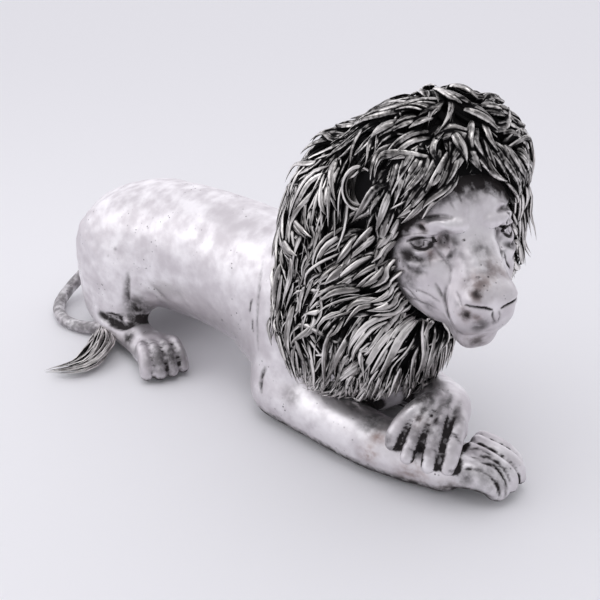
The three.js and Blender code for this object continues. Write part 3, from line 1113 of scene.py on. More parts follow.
@dataclass
class Head:
    """The face and skull, modelled finer than the rest of the skin."""

    voxel: float = 0.0023
    dent: float = 0.0008
    dent_wide: float = 0.02
    crease: float = 0.0034
    closed_crease: float = 0.7
    shade_reach: float = 0.016
    shade_most: float = 0.95
    ear_wide: float = 27
    ear_tall: float = 36
    ear_rim: float = 4
    ear_turn: float = 28
    ear_steps: int = 28
    ear_sunk: float = 0.24

    def lump(self, at: Place, radii: Size, **turns: float) -> Lump:
        """A lump of the head, given in the head's own frame."""
        return Lump(HEAD.place(*at), radii, HEAD.yaw, **turns)

    def course(self, rows: list[tuple[float, ...]], **settings: object) -> Limb:
        """A limb of the head, given in the head's own frame."""
        placed = [(*(HEAD.place(*row[:3]) / MM), *row[3:]) for row in rows]
        return Limb(placed, side=HEAD.turn() @ LEFT, **settings)

    def skull(self) -> Mass:
        """The skull, the cheeks and the jaw."""
        lump = self.lump
        forms = [lump((-72, 0, 8), (102, 92, 86)), lump((-36, 0, 38), (64, 84, 66))]
        forms.append(lump((-10, 0, -70), (52, 62, 58)))
        for hand in HANDS:
            forms.append(lump((-26, hand * 56, -52), (58, 38, 54)))
            forms.append(lump((-52, hand * 64, -62), (52, 42, 60)))
            forms.append(lump((6, hand * 34, -98), (58, 38, 44)))
        return Mass(forms, soft=0.014)

    def muzzle(self) -> Mass:
        """The bridge of the nose, the nose, the lips and the chin."""
        lump = self.lump
        nose = [(-24, 0, 26, 42, 30), (14, 0, -10, 38, 34), (50, 0, -44, 37, 34), (84, 0, -70, 38, 27)]
        chin = [(58, 0, -112, 38, 36), (59, 0, -147, 34, 30)]
        forms = [self.course(nose, square=3.6), lump((95, 0, -71), (18, 35, 15))]
        forms.append(self.course(chin, square=2.9))
        forms += [lump((91, 0, -91), (19, 31, 15)), lump((84, 0, -110), (25, 24, 24))]
        for hand in HANDS:
            forms.append(lump((70, hand * 25, -104), (35, 27, 28)))
            forms.append(lump((94, hand * 26, -77), (15, 14, 12)))
            forms.append(lump((40, hand * 33, -72), (46, 19, 32), pitch=38))
        return Mass(forms, soft=0.007)

    def eyes(self) -> Mass:
        """The brows, the eyeballs and their lids."""
        forms = []
        for hand in HANDS:
            brow = [
                (28, hand * 24, 26, 16, 13), (18, hand * 45, 25, 19, 15),
                (-3, hand * 66, 17, 18, 14), (-30, hand * 78, 8, 13, 10),
            ]
            lid = [
                (18, hand * 60, 0, 3, 3), (9, hand * 73, 7, 6, 5),
                (-8, hand * 82, 6, 6, 5), (-32, hand * 88, -7, 4, 3),
            ]
            ball = self.lump((-9, hand * 64, -6), (20, 20, 19))
            forms += [self.course(brow), self.course(lid), ball]
        return Mass(forms, soft=0.0014)

    def mass(self) -> Mass:
        """The whole form of the head."""
        hollows = [self.lump((34, hand * 58, -6), (13, 14, 18)) for hand in HANDS]
        base = Mass([self.skull(), self.muzzle()], 0.007, hollows, bite=0.004)
        return Mass([base, self.eyes()], soft=0.002)

    def strokes(self) -> dict[str, Stroke]:
        """The lines of the face."""
        return {
            "lid_ridge": Stroke(
                [(394, 241), (405, 237), (420, 235), (437, 234)], 0.0024, 0.0034, 0.0, True
            ),
            "lid_line": Stroke([(407, 241), (420, 238), (434, 238)], 0.0018, -0.0034, 1.4, True),
            "lower_lid_line": Stroke(
                [(410, 243), (416, 248), (425, 249), (433, 244)], 0.0021, -0.003, 1.45, True
            ),
            "iris_edge": Stroke(
                [(413, 242), (415, 246), (420, 247), (424, 244), (423, 240)], 0.0012, -0.001, 1.0, True
            ),
            "lower_lid_ridge": Stroke(
                [(404, 245), (414, 252), (426, 253), (438, 247)], 0.003, 0.0024, 0.0, True
            ),
            "eye_pouch": Stroke(
                [(398, 248), (408, 256), (420, 260), (433, 256)], 0.006, -0.0045, 0.85, True
            ),
            "eye_pouch_ridge": Stroke([(400, 255), (410, 263), (422, 266)], 0.0045, 0.0025, 0.0, True),
            "eye_pouch_low": Stroke([(402, 264), (413, 271), (425, 273)], 0.006, -0.003, 0.6, True),
            "tear_line": Stroke(
                [(434, 245), (441, 254), (448, 263), (451, 272), (449, 284)], 0.0024, -0.0026, 0.5, True
            ),
            "brow_furrow": Stroke([(440, 246), (444, 240), (447, 232)], 0.008, -0.005, 0.7, True),
            "brow_inner": Stroke([(428, 225), (436, 223), (445, 225), (451, 232)], 0.006, 0.005, 0.0, True),
            "brow_outer": Stroke([(403, 230), (409, 227), (414, 228)], 0.0045, 0.004, 0.0, True),
            "brow_notch": Stroke([(415, 224), (420, 227), (425, 231)], 0.0045, -0.005, 0.85, True),
            # Painted shadow of the mane's fringe along the top of the brow.
            "fringe_shadow_on_brow": Stroke(
                [(404, 222), (414, 217), (428, 217), (440, 216), (452, 218)], 0.0035, -0.0025, 0.7, True
            ),
            "forehead_line_a": Stroke([(447, 191), (450, 201), (456, 211)], 0.0022, -0.0024, 0.5),
            "forehead_line_b": Stroke([(456, 184), (459, 194), (462, 203)], 0.0024, -0.0026, 0.6),
            "forehead_line_c": Stroke([(464, 180), (466, 190), (466, 200)], 0.0022, -0.002, 0.35),
            "forehead_middle_line": Stroke([(470, 196), (469, 208), (468, 222)], 0.003, -0.0016, 0.2),
            "forehead_worm": Stroke([(478, 194), (488, 191), (497, 197), (509, 197)], 0.0022, -0.002, 0.45),
            "forehead_worm_high": Stroke([(480, 186), (490, 184), (500, 190)], 0.0022, -0.0018, 0.4),
            "left_brow_ring": Stroke([(494, 206), (501, 203), (507, 207)], 0.0026, 0.0022, 0.0),
            "nostril": Stroke([(466, 305), (475, 307), (484, 308), (492, 310)], 0.0016, -0.004, 1.4, True),
            "nostril_rim": Stroke([(467, 300), (479, 303), (491, 305)], 0.0028, 0.0014, 0.0, True),
            "nostril_lip": Stroke([(468, 309), (479, 312), (490, 314)], 0.0026, 0.001, 0.0, True),
            "lip_parting": Stroke([(493, 312), (493, 317), (496, 323)], 0.0018, -0.0026, 0.7),
            "lip_left_line": Stroke([(499, 311), (500, 317), (497, 323)], 0.0016, -0.002, 0.6),
            "nose_wing": Stroke([(456, 292), (459, 299), (462, 306)], 0.0022, -0.002, 0.45, True),
            "lip_fold": Stroke(
                [(447, 286), (444, 297), (446, 310), (450, 322), (456, 333)], 0.0028, -0.0034, 0.6, True
            ),
            "lip_fold_ridge": Stroke(
                [(451, 290), (449, 302), (451, 314), (455, 324)], 0.0028, 0.0022, 0.0, True
            ),
            "mouth_line": Stroke([(458, 333), (470, 336), (486, 332), (500, 327)], 0.0026, -0.002, 0.25),
            "cheek_dash": Stroke([(436, 284), (439, 290), (442, 297)], 0.0026, -0.0026, 0.65),
            "cheek_line_a": Stroke([(398, 284), (408, 290), (420, 303)], 0.0022, -0.0018, 0.5),
            "cheek_line_b": Stroke([(410, 288), (424, 293), (440, 302)], 0.0022, -0.0018, 0.45),
            "cheek_line_c": Stroke([(405, 295), (420, 302), (438, 310)], 0.0024, -0.0018, 0.5),
            "left_eye_comma": Stroke([(506, 214), (507, 222), (503, 227), (496, 229)], 0.002, -0.003, 1.2),
            "left_face_dash": Stroke([(505, 254), (507, 262), (510, 268)], 0.002, -0.003, 1.1),
        }

    def stains(self) -> dict[str, Stain]:
        """The smoky patches and the heat tints on the face."""
        return {
            "nose_rust": Stain((482, 284), 0.022, soot_and_shade=0.4, rust=0.5),
            "nose_smoke": Stain((477, 294), 0.012, soot_and_shade=0.7, rust=0.7),
            "bridge_rust": Stain((494, 270), 0.022, soot_and_shade=0.34, rust=0.4),
            "bridge_grey": Stain((482, 250), 0.024, soot_and_shade=0.5),
            "bridge_grey_low": Stain((488, 268), 0.024, soot_and_shade=0.42),
            "lip_smoke": Stain((466, 315), 0.012, soot_and_shade=0.75, rust=0.6),
            "lip_smoke_side": Stain((476, 317), 0.01, soot_and_shade=0.4, rust=0.4),
            "lip_grey": Stain((480, 326), 0.02, soot_and_shade=0.56),
            "chin_grey": Stain((476, 342), 0.022, soot_and_shade=0.52, rust=0.3),
            "chin_right_smoke": Stain((459, 332), 0.008, soot_and_shade=0.65),
            "lip_left_smoke": Stain((494, 322), 0.006, soot_and_shade=0.5),
            "iris": Stain((419, 243), 0.0085, soot_and_shade=0.62),
            "eye_shade": Stain((418, 243), 0.016, soot_and_shade=0.58),
            "eye_inner_corner": Stain((431, 244), 0.006, soot_and_shade=1.5),
            "brow_rust": Stain((422, 227), 0.008, soot_and_shade=0.4, rust=0.6),
            "brow_inner_shade": Stain((443, 242), 0.012, soot_and_shade=0.5, rust=0.4),
            "under_eye_smoke": Stain((408, 256), 0.018, soot_and_shade=0.74),
            "under_eye_inner_smoke": Stain((424, 261), 0.014, soot_and_shade=0.66),
            "under_eye_low_smoke": Stain((416, 270), 0.016, soot_and_shade=0.55),
            "eye_corner_rust": Stain((431, 256), 0.01, soot_and_shade=0.4, rust=0.6),
            "temple_smoke": Stain((399, 232), 0.02, soot_and_shade=0.6),
            "temple_low_smoke": Stain((393, 250), 0.018, soot_and_shade=0.5),
            "forehead_smoke": Stain((470, 172), 0.03, soot_and_shade=0.75),
            "forehead_high_grey": Stain((470, 190), 0.026, soot_and_shade=0.55),
            "forehead_left_smoke": Stain((508, 192), 0.018, soot_and_shade=0.6),
            "forehead_edge_smoke": Stain((442, 186), 0.024, soot_and_shade=0.55),
            "forehead_side_smoke": Stain((430, 203), 0.02, soot_and_shade=0.65),
            "cheek_edge_smoke": Stain((404, 294), 0.02, soot_and_shade=0.5),
            "cheek_low_smoke": Stain((430, 307), 0.014, soot_and_shade=0.5),
            "cheek_grey": Stain((408, 280), 0.024, soot_and_shade=0.48),
            "muzzle_side_smoke": Stain((457, 304), 0.007, soot_and_shade=0.45),
            "bridge_pit": Stain((464, 240), 0.0022, soot_and_shade=1.0),
            "nose_pit": Stain((479, 277), 0.0022, soot_and_shade=0.9),
        }

    def spin(self, bm: bmesh.types.BMesh, profile: list) -> None:
        """Turns a profile once round an ear's axis."""
        once = {"angle": math.tau, "steps": self.ear_steps, "use_merge": True}
        bmesh.ops.spin(bm, geom=profile, cent=(0, 0, 0), axis=(1, 0, 0), **once)

    def ear(self, hand: int) -> bpy.types.Mesh:
        """One ear: a deep oval dish with a bar bent round its rim."""
        bm = bmesh.new()
        dish = [(0, -17), (0.5, -15), (0.86, -6), (1, 3), (0.9, 4), (0.74, -2), (0.42, -9), (0, -11)]
        verts = [bm.verts.new((depth * MM, out, 0)) for out, depth in dish]
        edges = [bm.edges.new(pair) for pair in zip(verts, verts[1:])]
        self.spin(bm, verts + edges)
        ring = bmesh.ops.create_circle(bm, segments=10, radius=1)["verts"]
        rim = self.ear_rim * MM
        bar = Matrix.Translation((rim, 1, 0)) @ Matrix.Diagonal((rim, 0.1, 1, 1))
        bmesh.ops.transform(bm, matrix=bar, verts=ring)
        self.spin(bm, ring + list({edge for vert in ring for edge in vert.link_edges}))
        bmesh.ops.remove_doubles(bm, verts=bm.verts, dist=1e-6)
        grown = Matrix.Diagonal((1, self.ear_wide * MM, self.ear_tall * MM, 1))
        bmesh.ops.transform(bm, matrix=grown, verts=bm.verts)
        turn = Matrix.Rotation(math.radians(HEAD.yaw + hand * self.ear_turn), 4, "Z")
        middle = HEAD.ear(hand)
        bmesh.ops.transform(bm, matrix=Matrix.Translation(middle) @ turn, verts=bm.verts)
        bmesh.ops.recalc_face_normals(bm, faces=bm.faces)
        mesh = bpy.data.meshes.new("ear_right" if hand < 0 else "ear_left")
        bm.to_mesh(mesh)
        bm.free()
        away = np.linalg.norm(points_of(mesh) - np.array(middle), axis=1)
        # The dish is painted darker towards its middle, as patina and painted shade in it; its rim is bright
        # with wear.
        paint(mesh, "sunk", self.ear_sunk - 0.2 * ease(0.016, 0.028, away))
        paint(mesh, "edge", ease(0.02, 0.032, away))
        return mesh

    def build(self, steel: bpy.types.Material, strips: bpy.types.Material, mane: Mass) -> Mass:
        """Makes the head and its ears.

        Args:
            steel: the finish of the skin.
            strips: the finish of the ears.
            mane: the mane's own form, which casts painted shade on the skin beside it.

        Returns:
            The head's form, for the mane to be laid on.
        """
        mass = self.mass()
        relief = Relief(mass.mesh("head", self.voxel))
        # Creases are darkened with black patina and painted shade.
        relief.blacken(mass, self.crease, self.crease * self.closed_crease)
        # Painted shade on the face where the mane comes close.
        relief.shade_near(mane, self.shade_reach, self.shade_most)
        relief.draw(self.strokes())
        relief.stain(self.stains())
        relief.hammer(self.dent, self.dent_wide)
        finished(relief.done(), steel, Slot.SKIN)
        for hand in HANDS:
            finished(self.ear(hand), strips, Slot.STRIPS)
        return mass


@dataclass
class Strip:
    """One forged strip: its path, the way out of the mane along it, and its section."""

    path: np.ndarray
    out: np.ndarray
    wide: float
    thick: float
    turn: float
    twist: float
    spine: float


@dataclass(frozen=True)
class Stock:
    """What one kind of strip is cut from: its least and most sizes, and how far it may turn.

    Turn and twist are the spread of a chance angle, in radians. The spine is a ridge along the
    strip, or a groove below 0, in shares of its half thickness.
    """

    wide: tuple[float, float]
    thick: tuple[float, float]
    turn: float
    twist: float
    spine: tuple[float, float] = (-0.4, -0.4)

    def cut(self, path: np.ndarray, out: np.ndarray, rng: np.random.Generator) -> Strip:
        """Cuts a strip for a path.

        Args:
            path: its places.
            out: the way out of the mane at each.
            rng: the source of chance, which a size of one value leaves alone.

        Returns:
            The strip.
        """
        def pick(least: float, most: float) -> float:
            """A size between two, or the one that they both are."""
            return rng.uniform(least, most) if most > least else least

        wide, thick = pick(*self.wide), pick(*self.thick)
        turn, twist = rng.normal(0, self.turn), rng.normal(0, self.twist)
        return Strip(path, out, wide, thick, turn, twist, pick(*self.spine))


@dataclass
class StripTemplate:
    """A drawn-out strip: a ball's rings, which each strip lays along its own path."""

    around: int = 8
    rings: int = 10
    streaks: float = 14

    def __post_init__(self) -> None:
        """Makes the mesh and reads where each of its points is along and round the strip."""
        bm = bmesh.new()
        bmesh.ops.create_uvsphere(bm, u_segments=self.around, v_segments=self.rings, radius=1)
        self.mesh = bpy.data.meshes.new("strip_template")
        bm.to_mesh(self.mesh)
        bm.free()
        points = points_of(self.mesh)
        self.along = 1 - np.arccos(np.clip(points[:, 2], -1, 1)) / math.pi
        ring = np.linalg.norm(points[:, :2], axis=1)
        self.over = points[:, 0] / np.maximum(ring, 1e-6) * (ring > 1e-6)
        self.rise = points[:, 1] / np.maximum(ring, 1e-6) * (ring > 1e-6)

    def lay(self, name: str, strips: list[Strip]) -> bpy.types.Mesh:
        """Lays a copy of the template along every strip.

        Args:
            name: the mesh's name.
            strips: the strips.

        Returns:
            One mesh of them all.
        """
        bm = bmesh.new()
        for _ in strips:
            bm.from_mesh(self.mesh)
        mesh = bpy.data.meshes.new(name)
        bm.to_mesh(mesh)
        bm.free()
        move_points(mesh, np.concatenate([self.shape(strip) for strip in strips]))
        edge = ease(0.35, 0.9, np.abs(self.over)) * 0.9 + 0.1
        paint(mesh, "edge", np.tile(edge, len(strips)))
        count = len(self.along)
        long = [np.linalg.norm(np.diff(strip.path, axis=0), axis=1).sum() for strip in strips]
        lengthwise = np.tile(self.along, len(strips)) * np.repeat(long, count) * self.streaks
        number = np.repeat(np.arange(len(strips)), count)
        grain = np.stack((np.tile(self.over, len(strips)), lengthwise, number * 3.7), axis=1)
        layer = mesh.attributes.new("grain", "FLOAT_VECTOR", "POINT")
        layer.data.foreach_set("vector", grain.astype(np.float32).ravel())
        return mesh

    def shape(self, strip: Strip) -> np.ndarray:
        """The template's points laid along one strip."""
        run = self.along * (len(strip.path) - 1)
        at, out = spline(strip.path, run), unit(spline(strip.out, run))
        ahead = unit(spline(np.gradient(strip.path, axis=0), run))
        across = unit(np.cross(out, ahead))
        out = np.cross(ahead, across)
        twist = strip.turn + strip.twist * (self.along - 0.5)
        cosine, sine = np.cos(twist)[:, None], np.sin(twist)[:, None]
        across, out = across * cosine + out * sine, out * cosine - across * sine
        full = np.minimum(ease(-0.12, 0.3, self.along), ease(1.0, 0.45, self.along) ** 0.85)
        full = np.where((self.along < 0.01) | (self.along > 0.99), 0, np.maximum(full, 0.05))
        over = np.sign(self.over) * np.abs(self.over) ** 0.7 * strip.wide / 2
        rise = self.rise * strip.thick / 2
        middle = np.exp(-((self.over / 0.45) ** 2)) * strip.spine * strip.thick / 2
        rise = np.where(self.rise > 0, rise + middle, rise)
        return at + across * (over * full)[:, None] + out * (rise * full**0.5)[:, None]


@dataclass(frozen=True)
class Shelter:
    """Finds how far each point of some strips is sunk among them, by looking out from it; the finish paints
    this black, as patina and painted shade.
    """

    ways: int = 5
    tilt: float = 0.85
    reach: float = 0.018
    start: float = 0.0006
    straight: float = 1.5
    full: float = 5.5

    def of(self, mesh: bpy.types.Mesh, tree: BVHTree) -> np.ndarray:
        """How sunk the points of a mesh are.

        Args:
            mesh: the strips.
            tree: the strips and what lies under them.

        Returns:
            A value for each point, about 1 where it is all shut in.
        """
        sunk = np.zeros(len(mesh.vertices))
        for n, (point, out) in enumerate(zip(points_of(mesh), normals_of(mesh))):
            normal = Vector(out)
            side = normal.orthogonal().normalized()
            other = normal.cross(side)
            start = Vector(point) + normal * self.start
            hits = 0.0
            for k in range(self.ways):
                turn = k * math.tau / self.ways
                way = normal + (side * math.cos(turn) + other * math.sin(turn)) * self.tilt
                hit = tree.ray_cast(start, way.normalized(), self.reach)
                if hit[0] is not None:
                    hits += 1 - 0.5 * hit[3] / self.reach
            if tree.ray_cast(start, normal, self.reach)[0] is not None:
                hits += self.straight
            sunk[n] = hits / self.full
        return sunk


@dataclass
class Mane:
    """Hundreds of strips, combed over one mass round the head and neck, which is painted black all over as
    patina and the shade between them.

    Most are grown from roots a spacing apart. The drawn ones follow large strips of the
    photograph, and the loose ones hang at the left edge.
    """

    spacing: float = 0.0134
    steps: int = 9
    long: tuple[float, float] = (0.075, 0.18)
    low: tuple[float, float] = (-0.009, 0.0)
    lift: tuple[float, float] = (0.001, 0.018)
    hump: tuple[float, float] = (0.0, 0.008)
    before: float = 0.26
    grown_stock: Stock = Stock((0.006, 0.0155), (0.0042, 0.0068), 0.45, 1.1, (-0.8, 1.0))
    drawn_stock: Stock = Stock((0.01, 0.016), (0.0062, 0.0062), 0.35, 0.8, (-0.8, 1.0))
    loose_stock: Stock = Stock((0.006, 0.011), (0.005, 0.005), 0.4, 1)
    voxel: float = 0.009
    sink: float = 0.009
    comb_wide: float = 0.03
    overhang: float = 0.016
    low_below: float = 0.22
    low_overhang: float = 2.2
    shortest: int = 2
    free_below: float = -0.2
    ear_room: float = 0.028
    ear_share: float = 0.75
    face_round: float = 0.2
    face_back: float = 0.075
    most_bent: float = 2.6
    most_step: float = 0.035
    apart: float = 0.05
    loose_ahead: float = -36
    crown_above: float = 0.43
    crown_shade: float = 0.26
    places: np.ndarray = field(init=False)
    ways: np.ndarray = field(init=False)

    def mass(self) -> Mass:
        """The mass of the mane."""
        lumps = [
            Lump(HEAD.place(-104, 0, 62), (120, 152, 136), HEAD.yaw),
            Lump(spot(122, 8, 458), (124, 136, 124)),
            Lump(spot(116, 0, 340), (146, 160, 188)),
            Lump(HEAD.place(-80, 0, -84), (82, 144, 92), HEAD.yaw),
            Lump(spot(188, -20, 262), (122, 134, 128)),
            Lump(spot(118, -78, 232), (96, 92, 98)),
            Lump(spot(118, 78, 232), (96, 92, 98)),
        ]
        return Mass(lumps, soft=0.014)

    def combing(self) -> dict[str, list[Pixel]]:
        """The strokes in which the photograph shows the mane combed, each from root to point."""
        return {
            "crown_left": [(418, 115), (392, 116), (362, 120), (345, 132), (338, 150)],
            "crown_left_short": [(402, 130), (385, 140), (375, 150)],
            "crown_left_long": [(412, 135), (388, 152), (374, 178), (368, 192)],
            "over_ear": [(432, 156), (397, 153), (383, 161), (378, 182)],
            "ear_front": [(400, 180), (382, 184), (370, 200), (360, 213)],
            "back_of_head": [(358, 110), (328, 133), (308, 156), (294, 182), (291, 210), (295, 226)],
            "behind_ear": [(340, 172), (320, 180), (308, 200), (298, 226)],
            "behind_ear_inner": [(350, 166), (338, 186), (333, 206), (330, 229)],
            "temple_down": [(404, 160), (399, 182), (392, 206)],
            "ear_top": [(386, 160), (372, 180), (360, 200)],
            "crown_top_left": [(452, 104), (440, 93), (418, 92), (406, 95)],
            "crown_mid_left": [(430, 118), (414, 116), (398, 120)],
            "crown_top_right": [(474, 103), (490, 104), (500, 110), (513, 108)],
            "crown_right": [(488, 117), (502, 124), (522, 134)],
            "crown_right_long": [(495, 129), (512, 134), (528, 142), (536, 156)],
            "left_side_down": [(506, 150), (514, 168), (521, 184), (527, 196)],
            "left_temple": [(494, 146), (503, 164), (512, 181)],
            "left_fringe": [(484, 150), (482, 163), (490, 173), (500, 177)],
            "parting_right": [(447, 129), (455, 144), (461, 158)],
            "fringe_long": [(455, 165), (446, 184), (431, 199), (423, 214)],
            "fringe_short": [(445, 160), (439, 175), (434, 183)],
            "fringe_left": [(426, 163), (412, 180), (401, 198)],
            "fringe_low": [(430, 186), (418, 200), (404, 211)],
            "crown_across": [(436, 140), (448, 136), (462, 138), (480, 140)],
            "crown_curl": [(416, 94), (427, 99), (433, 111)],
            "crown_arc": [(433, 110), (416, 113), (391, 121), (369, 130), (356, 140)],
            "crown_low_arc": [(436, 139), (416, 142), (401, 152), (390, 165)],
            "crown_right_arc": [(460, 114), (479, 125), (492, 137)],
            "crown_right_fall": [(479, 116), (497, 123), (511, 131)],
            "top_leaf": [(447, 97), (460, 101), (473, 110)],
            "top_leaf_low": [(436, 99), (448, 107), (461, 114)],
            "top_front": [(470, 128), (466, 144), (472, 158)],
            "top_front_left": [(476, 132), (480, 146), (490, 160)],
            "fringe_middle": [(458, 150), (452, 160), (448, 172)],
            "fringe_middle_left": [(466, 150), (470, 160), (478, 172)],
            "fringe_outer": [(436, 172), (420, 187), (408, 203)],
            "long_lock": [(396, 172), (380, 188), (388, 206), (386, 226), (380, 242), (376, 262)],
            "long_lock_back": [(386, 178), (374, 196), (378, 216), (372, 240), (364, 262)],
            "over_ear_fall": [(344, 166), (340, 184), (344, 206)],
            "ear_back_fall": [(334, 176), (331, 204), (338, 218)],
            "back_lock": [(302, 166), (294, 192), (300, 220), (316, 238)],
            "back_edge_lock": [(292, 196), (285, 220), (291, 243), (304, 256)],
            "middle_lock": [(352, 226), (332, 241), (322, 260), (326, 272)],
            "middle_lock_low": [(364, 234), (351, 254), (340, 268)],
            "jaw_lock": [(378, 254), (355, 266), (338, 275)],
            "cheek_under": [(410, 296), (392, 303), (370, 312)],
            "cheek_under_low": [(424, 304), (404, 314), (382, 326), (364, 340)],
            "jaw_under": [(438, 311), (412, 326), (392, 345), (384, 362)],
            "beard_front": [(445, 314), (448, 338), (440, 360), (444, 378)],
            "beard_middle": [(432, 316), (418, 344), (408, 370)],
            "breast_lock": [(400, 322), (380, 344), (362, 372)],
            "neck_high": [(350, 246), (326, 257), (313, 270), (311, 286)],
            "neck_inner": [(356, 258), (336, 270), (325, 281)],
            "neck_inner_low": [(368, 261), (346, 277), (326, 284)],
            "neck_middle": [(364, 283), (338, 286), (320, 299)],
            "ruff_high": [(385, 296), (362, 301), (345, 322)],
            "ruff_middle": [(392, 314), (372, 322), (357, 340), (354, 352)],
            "ruff_low": [(370, 351), (352, 364), (336, 371)],
            "ruff_back_low": [(332, 364), (320, 378), (306, 386)],
            "shoulder_fall": [(300, 300), (296, 330), (299, 352), (305, 386)],
            "shoulder_tip_high": [(286, 238), (278, 254), (268, 265)],
            "shoulder_edge": [(290, 262), (284, 290), (288, 312)],
            "shoulder_tip_low": [(284, 306), (286, 322), (290, 334)],
            "cheek_back": [(380, 222), (368, 240), (356, 252)],
            "cheek_low": [(396, 262), (376, 270), (356, 282)],
            "jaw_back": [(414, 312), (396, 330), (384, 352), (370, 372)],
            "beard_back": [(430, 316), (424, 340), (408, 362), (392, 380)],
            "beard": [(446, 318), (446, 336), (440, 352), (430, 368)],
            "cheek_front": [(400, 222), (392, 236), (384, 252)],
            "cheek_front_middle": [(397, 240), (388, 254), (376, 266)],
            "cheek_front_low": [(396, 258), (386, 272), (370, 283)],
            "cheek_edge_lock": [(400, 276), (388, 284), (370, 294)],
            "cheek_edge_low": [(404, 286), (390, 293), (374, 302)],
            "cheek_edge_beard": [(416, 296), (402, 301), (386, 312)],
            "temple_lock": [(400, 206), (393, 222), (388, 240)],
            "temple_lock_back": [(394, 196), (388, 214), (382, 232)],
            "forehead_top": [(474, 140), (478, 156), (486, 172)],
            "forehead_top_left": [(486, 146), (497, 162), (506, 180)],
            "forehead_edge": [(452, 152), (446, 168), (438, 184)],
            "left_hanging": [(528, 196), (532, 214), (536, 234)],
            "left_inner_hanging": [(517, 204), (519, 228), (515, 250)],
            "left_middle_hanging": [(522, 210), (521, 236), (525, 262)],
        }

    def bare_face(self) -> dict[str, Pixel]:
        """The outline of the bare face in the photograph, which no strip crosses."""
        return {
            "forehead_middle": (462, 171),
            "forehead_left": (488, 183),
            "left_temple": (509, 196),
            "left_brow": (517, 222),
            "left_cheek": (514, 262),
            "lip_left": (524, 300),
            "chin_left": (506, 338),
            "chin_low": (484, 354),
            "chin_right": (458, 344),
            "jaw": (446, 313),
            "cheek_low": (425, 305),
            "cheek_back": (403, 287),
            "cheek_edge": (391, 268),
            "eye_corner": (389, 246),
            "temple": (399, 229),
            "brow": (420, 214),
            "fringe": (436, 196),
            "forehead_right": (447, 176),
        }

    def comb(self, tree: BVHTree) -> tuple[np.ndarray, np.ndarray]:
        """The places and ways of all combing strokes, on the seen side and mirrored.

        Args:
            tree: the mane's mass, to be looked at.

        Returns:
            The places, and a way for each.
        """
        places, ways = [], []
        for pixels in self.combing().values():
            seen = EYE.on(tree, pixels)
            if len(seen) < 2:
                continue
            line = spline(seen, np.linspace(0, len(seen) - 1, 5 * len(seen)))
            for course in (line, HEAD.mirrored(line)):
                places.append(course)
                ways.append(unit(np.gradient(course, axis=0)))
        return np.concatenate(places), np.concatenate(ways)

    def flow(self, points: np.ndarray, out: np.ndarray) -> np.ndarray:
        """The way the strips lie at some places.

        Args:
            points: the places.
            out: the way out of the mane there.

        Returns:
            A way along the surface for each.
        """
        away = points[:, None, :] - self.places[None, :, :]
        pull = np.exp(-(away**2).sum(axis=2) / (2 * self.comb_wide**2))
        face = np.array(HEAD.place(30, 0, -30))
        from_face = unit(points - face)
        hanging = np.array((-0.25, 0.0, -1.0))
        near_face = np.linalg.norm(points - face, axis=1)[:, None]
        general = unit(from_face + hanging * (0.5 + 1.6 * ease(0.12, 0.4, near_face)))
        return self.along(pull @ self.ways + 0.5 * general, out)

    def along(self, way: np.ndarray, out: np.ndarray) -> np.ndarray:
        """Ways turned to lie along the surface, from the way out of it."""
        return unit(way - (way * out).sum(axis=1)[:, None] * out)

    def roots(self, mesh: bpy.types.Mesh, rng: np.random.Generator) -> np.ndarray:
        """Places all over the mass, about evenly spaced.

        Args:
            mesh: the mass.
            rng: the source of chance.

        Returns:
            The places.
        """
        points = points_of(mesh)
        order = rng.permutation(len(points))
        cells: dict[tuple[int, int, int], list[np.ndarray]] = {}
        kept = []
        for point in points[order]:
            cell = tuple((point // self.spacing).astype(int))
            around = [
                near
                for dx in (-1, 0, 1)
                for dy in (-1, 0, 1)
                for dz in (-1, 0, 1)
                for near in cells.get((cell[0] + dx, cell[1] + dy, cell[2] + dz), ())
            ]
            if all(np.linalg.norm(point - near) > self.spacing for near in around):
                cells.setdefault(cell, []).append(point)
                kept.append(point)
        return np.array(kept)

    def wave(self, points: np.ndarray, wide: float, seed: float) -> np.ndarray:
        """A slow random turn that neighbouring strips share."""
        return np.array([noise.noise(Vector(p) / wide + Vector((seed, 0, 0))) for p in points])

    def grow(self, start: np.ndarray, under: Mass, rng: np.random.Generator) -> list[Strip]:
        """Draws strips out from their roots, along the combed mass.

        Args:
            start: the roots.
            under: the mass with the skin beneath it.
            rng: the source of chance.

        Returns:
            The strips.
        """
        count = len(start)
        long = rng.uniform(*self.long, count)
        low = rng.uniform(*self.low, count)
        lift = rng.uniform(*self.lift, count)
        hump = rng.uniform(*self.hump, count)
        stray = rng.normal(0, 0.2, count) + 0.5 * self.wave(start, 0.05, 3.0)
        bend = rng.normal(0, 0.5, count) + 0.9 * self.wave(start, 0.035, 11.0)
        phase = rng.uniform(0, 0.5, count)
        first = self.flow(start, unit(under.slope(start, under.distance(start))))
        points = under.settled(start - first * (self.before * long)[:, None], low)
        path, ways_out = [], []
        for i in range(self.steps + 1):
            share = i / self.steps
            out = unit(under.slope(points, under.distance(points)))
            path.append(points)
            ways_out.append(out)
            way = self.flow(points, out) if share > self.before else first
            way = self.along(way, out)
            angle = stray + bend * np.sin(math.tau * (0.8 * share + phase))
            side = np.cross(out, way)
            way = way * np.cos(angle)[:, None] + side * np.sin(angle)[:, None]
            hanging = (out[:, 2] < self.free_below)[:, None]
            way = np.where(hanging, unit(way + np.array((0.1, 0.0, -1.3))), way)
            points = points + way * (long / self.steps)[:, None]
            rise = low + lift * share**1.2 + hump * math.sin(math.pi * share)
            held = under.settled(points, rise, rounds=2)
            free = hanging & (under.distance(points) > rise)[:, None]
            points = np.where(free, points, held)
        paths = np.array(path).transpose(1, 0, 2)
        outs = np.array(ways_out).transpose(1, 0, 2)
        return [self.grown_stock.cut(paths[n], outs[n], rng) for n in range(count)]

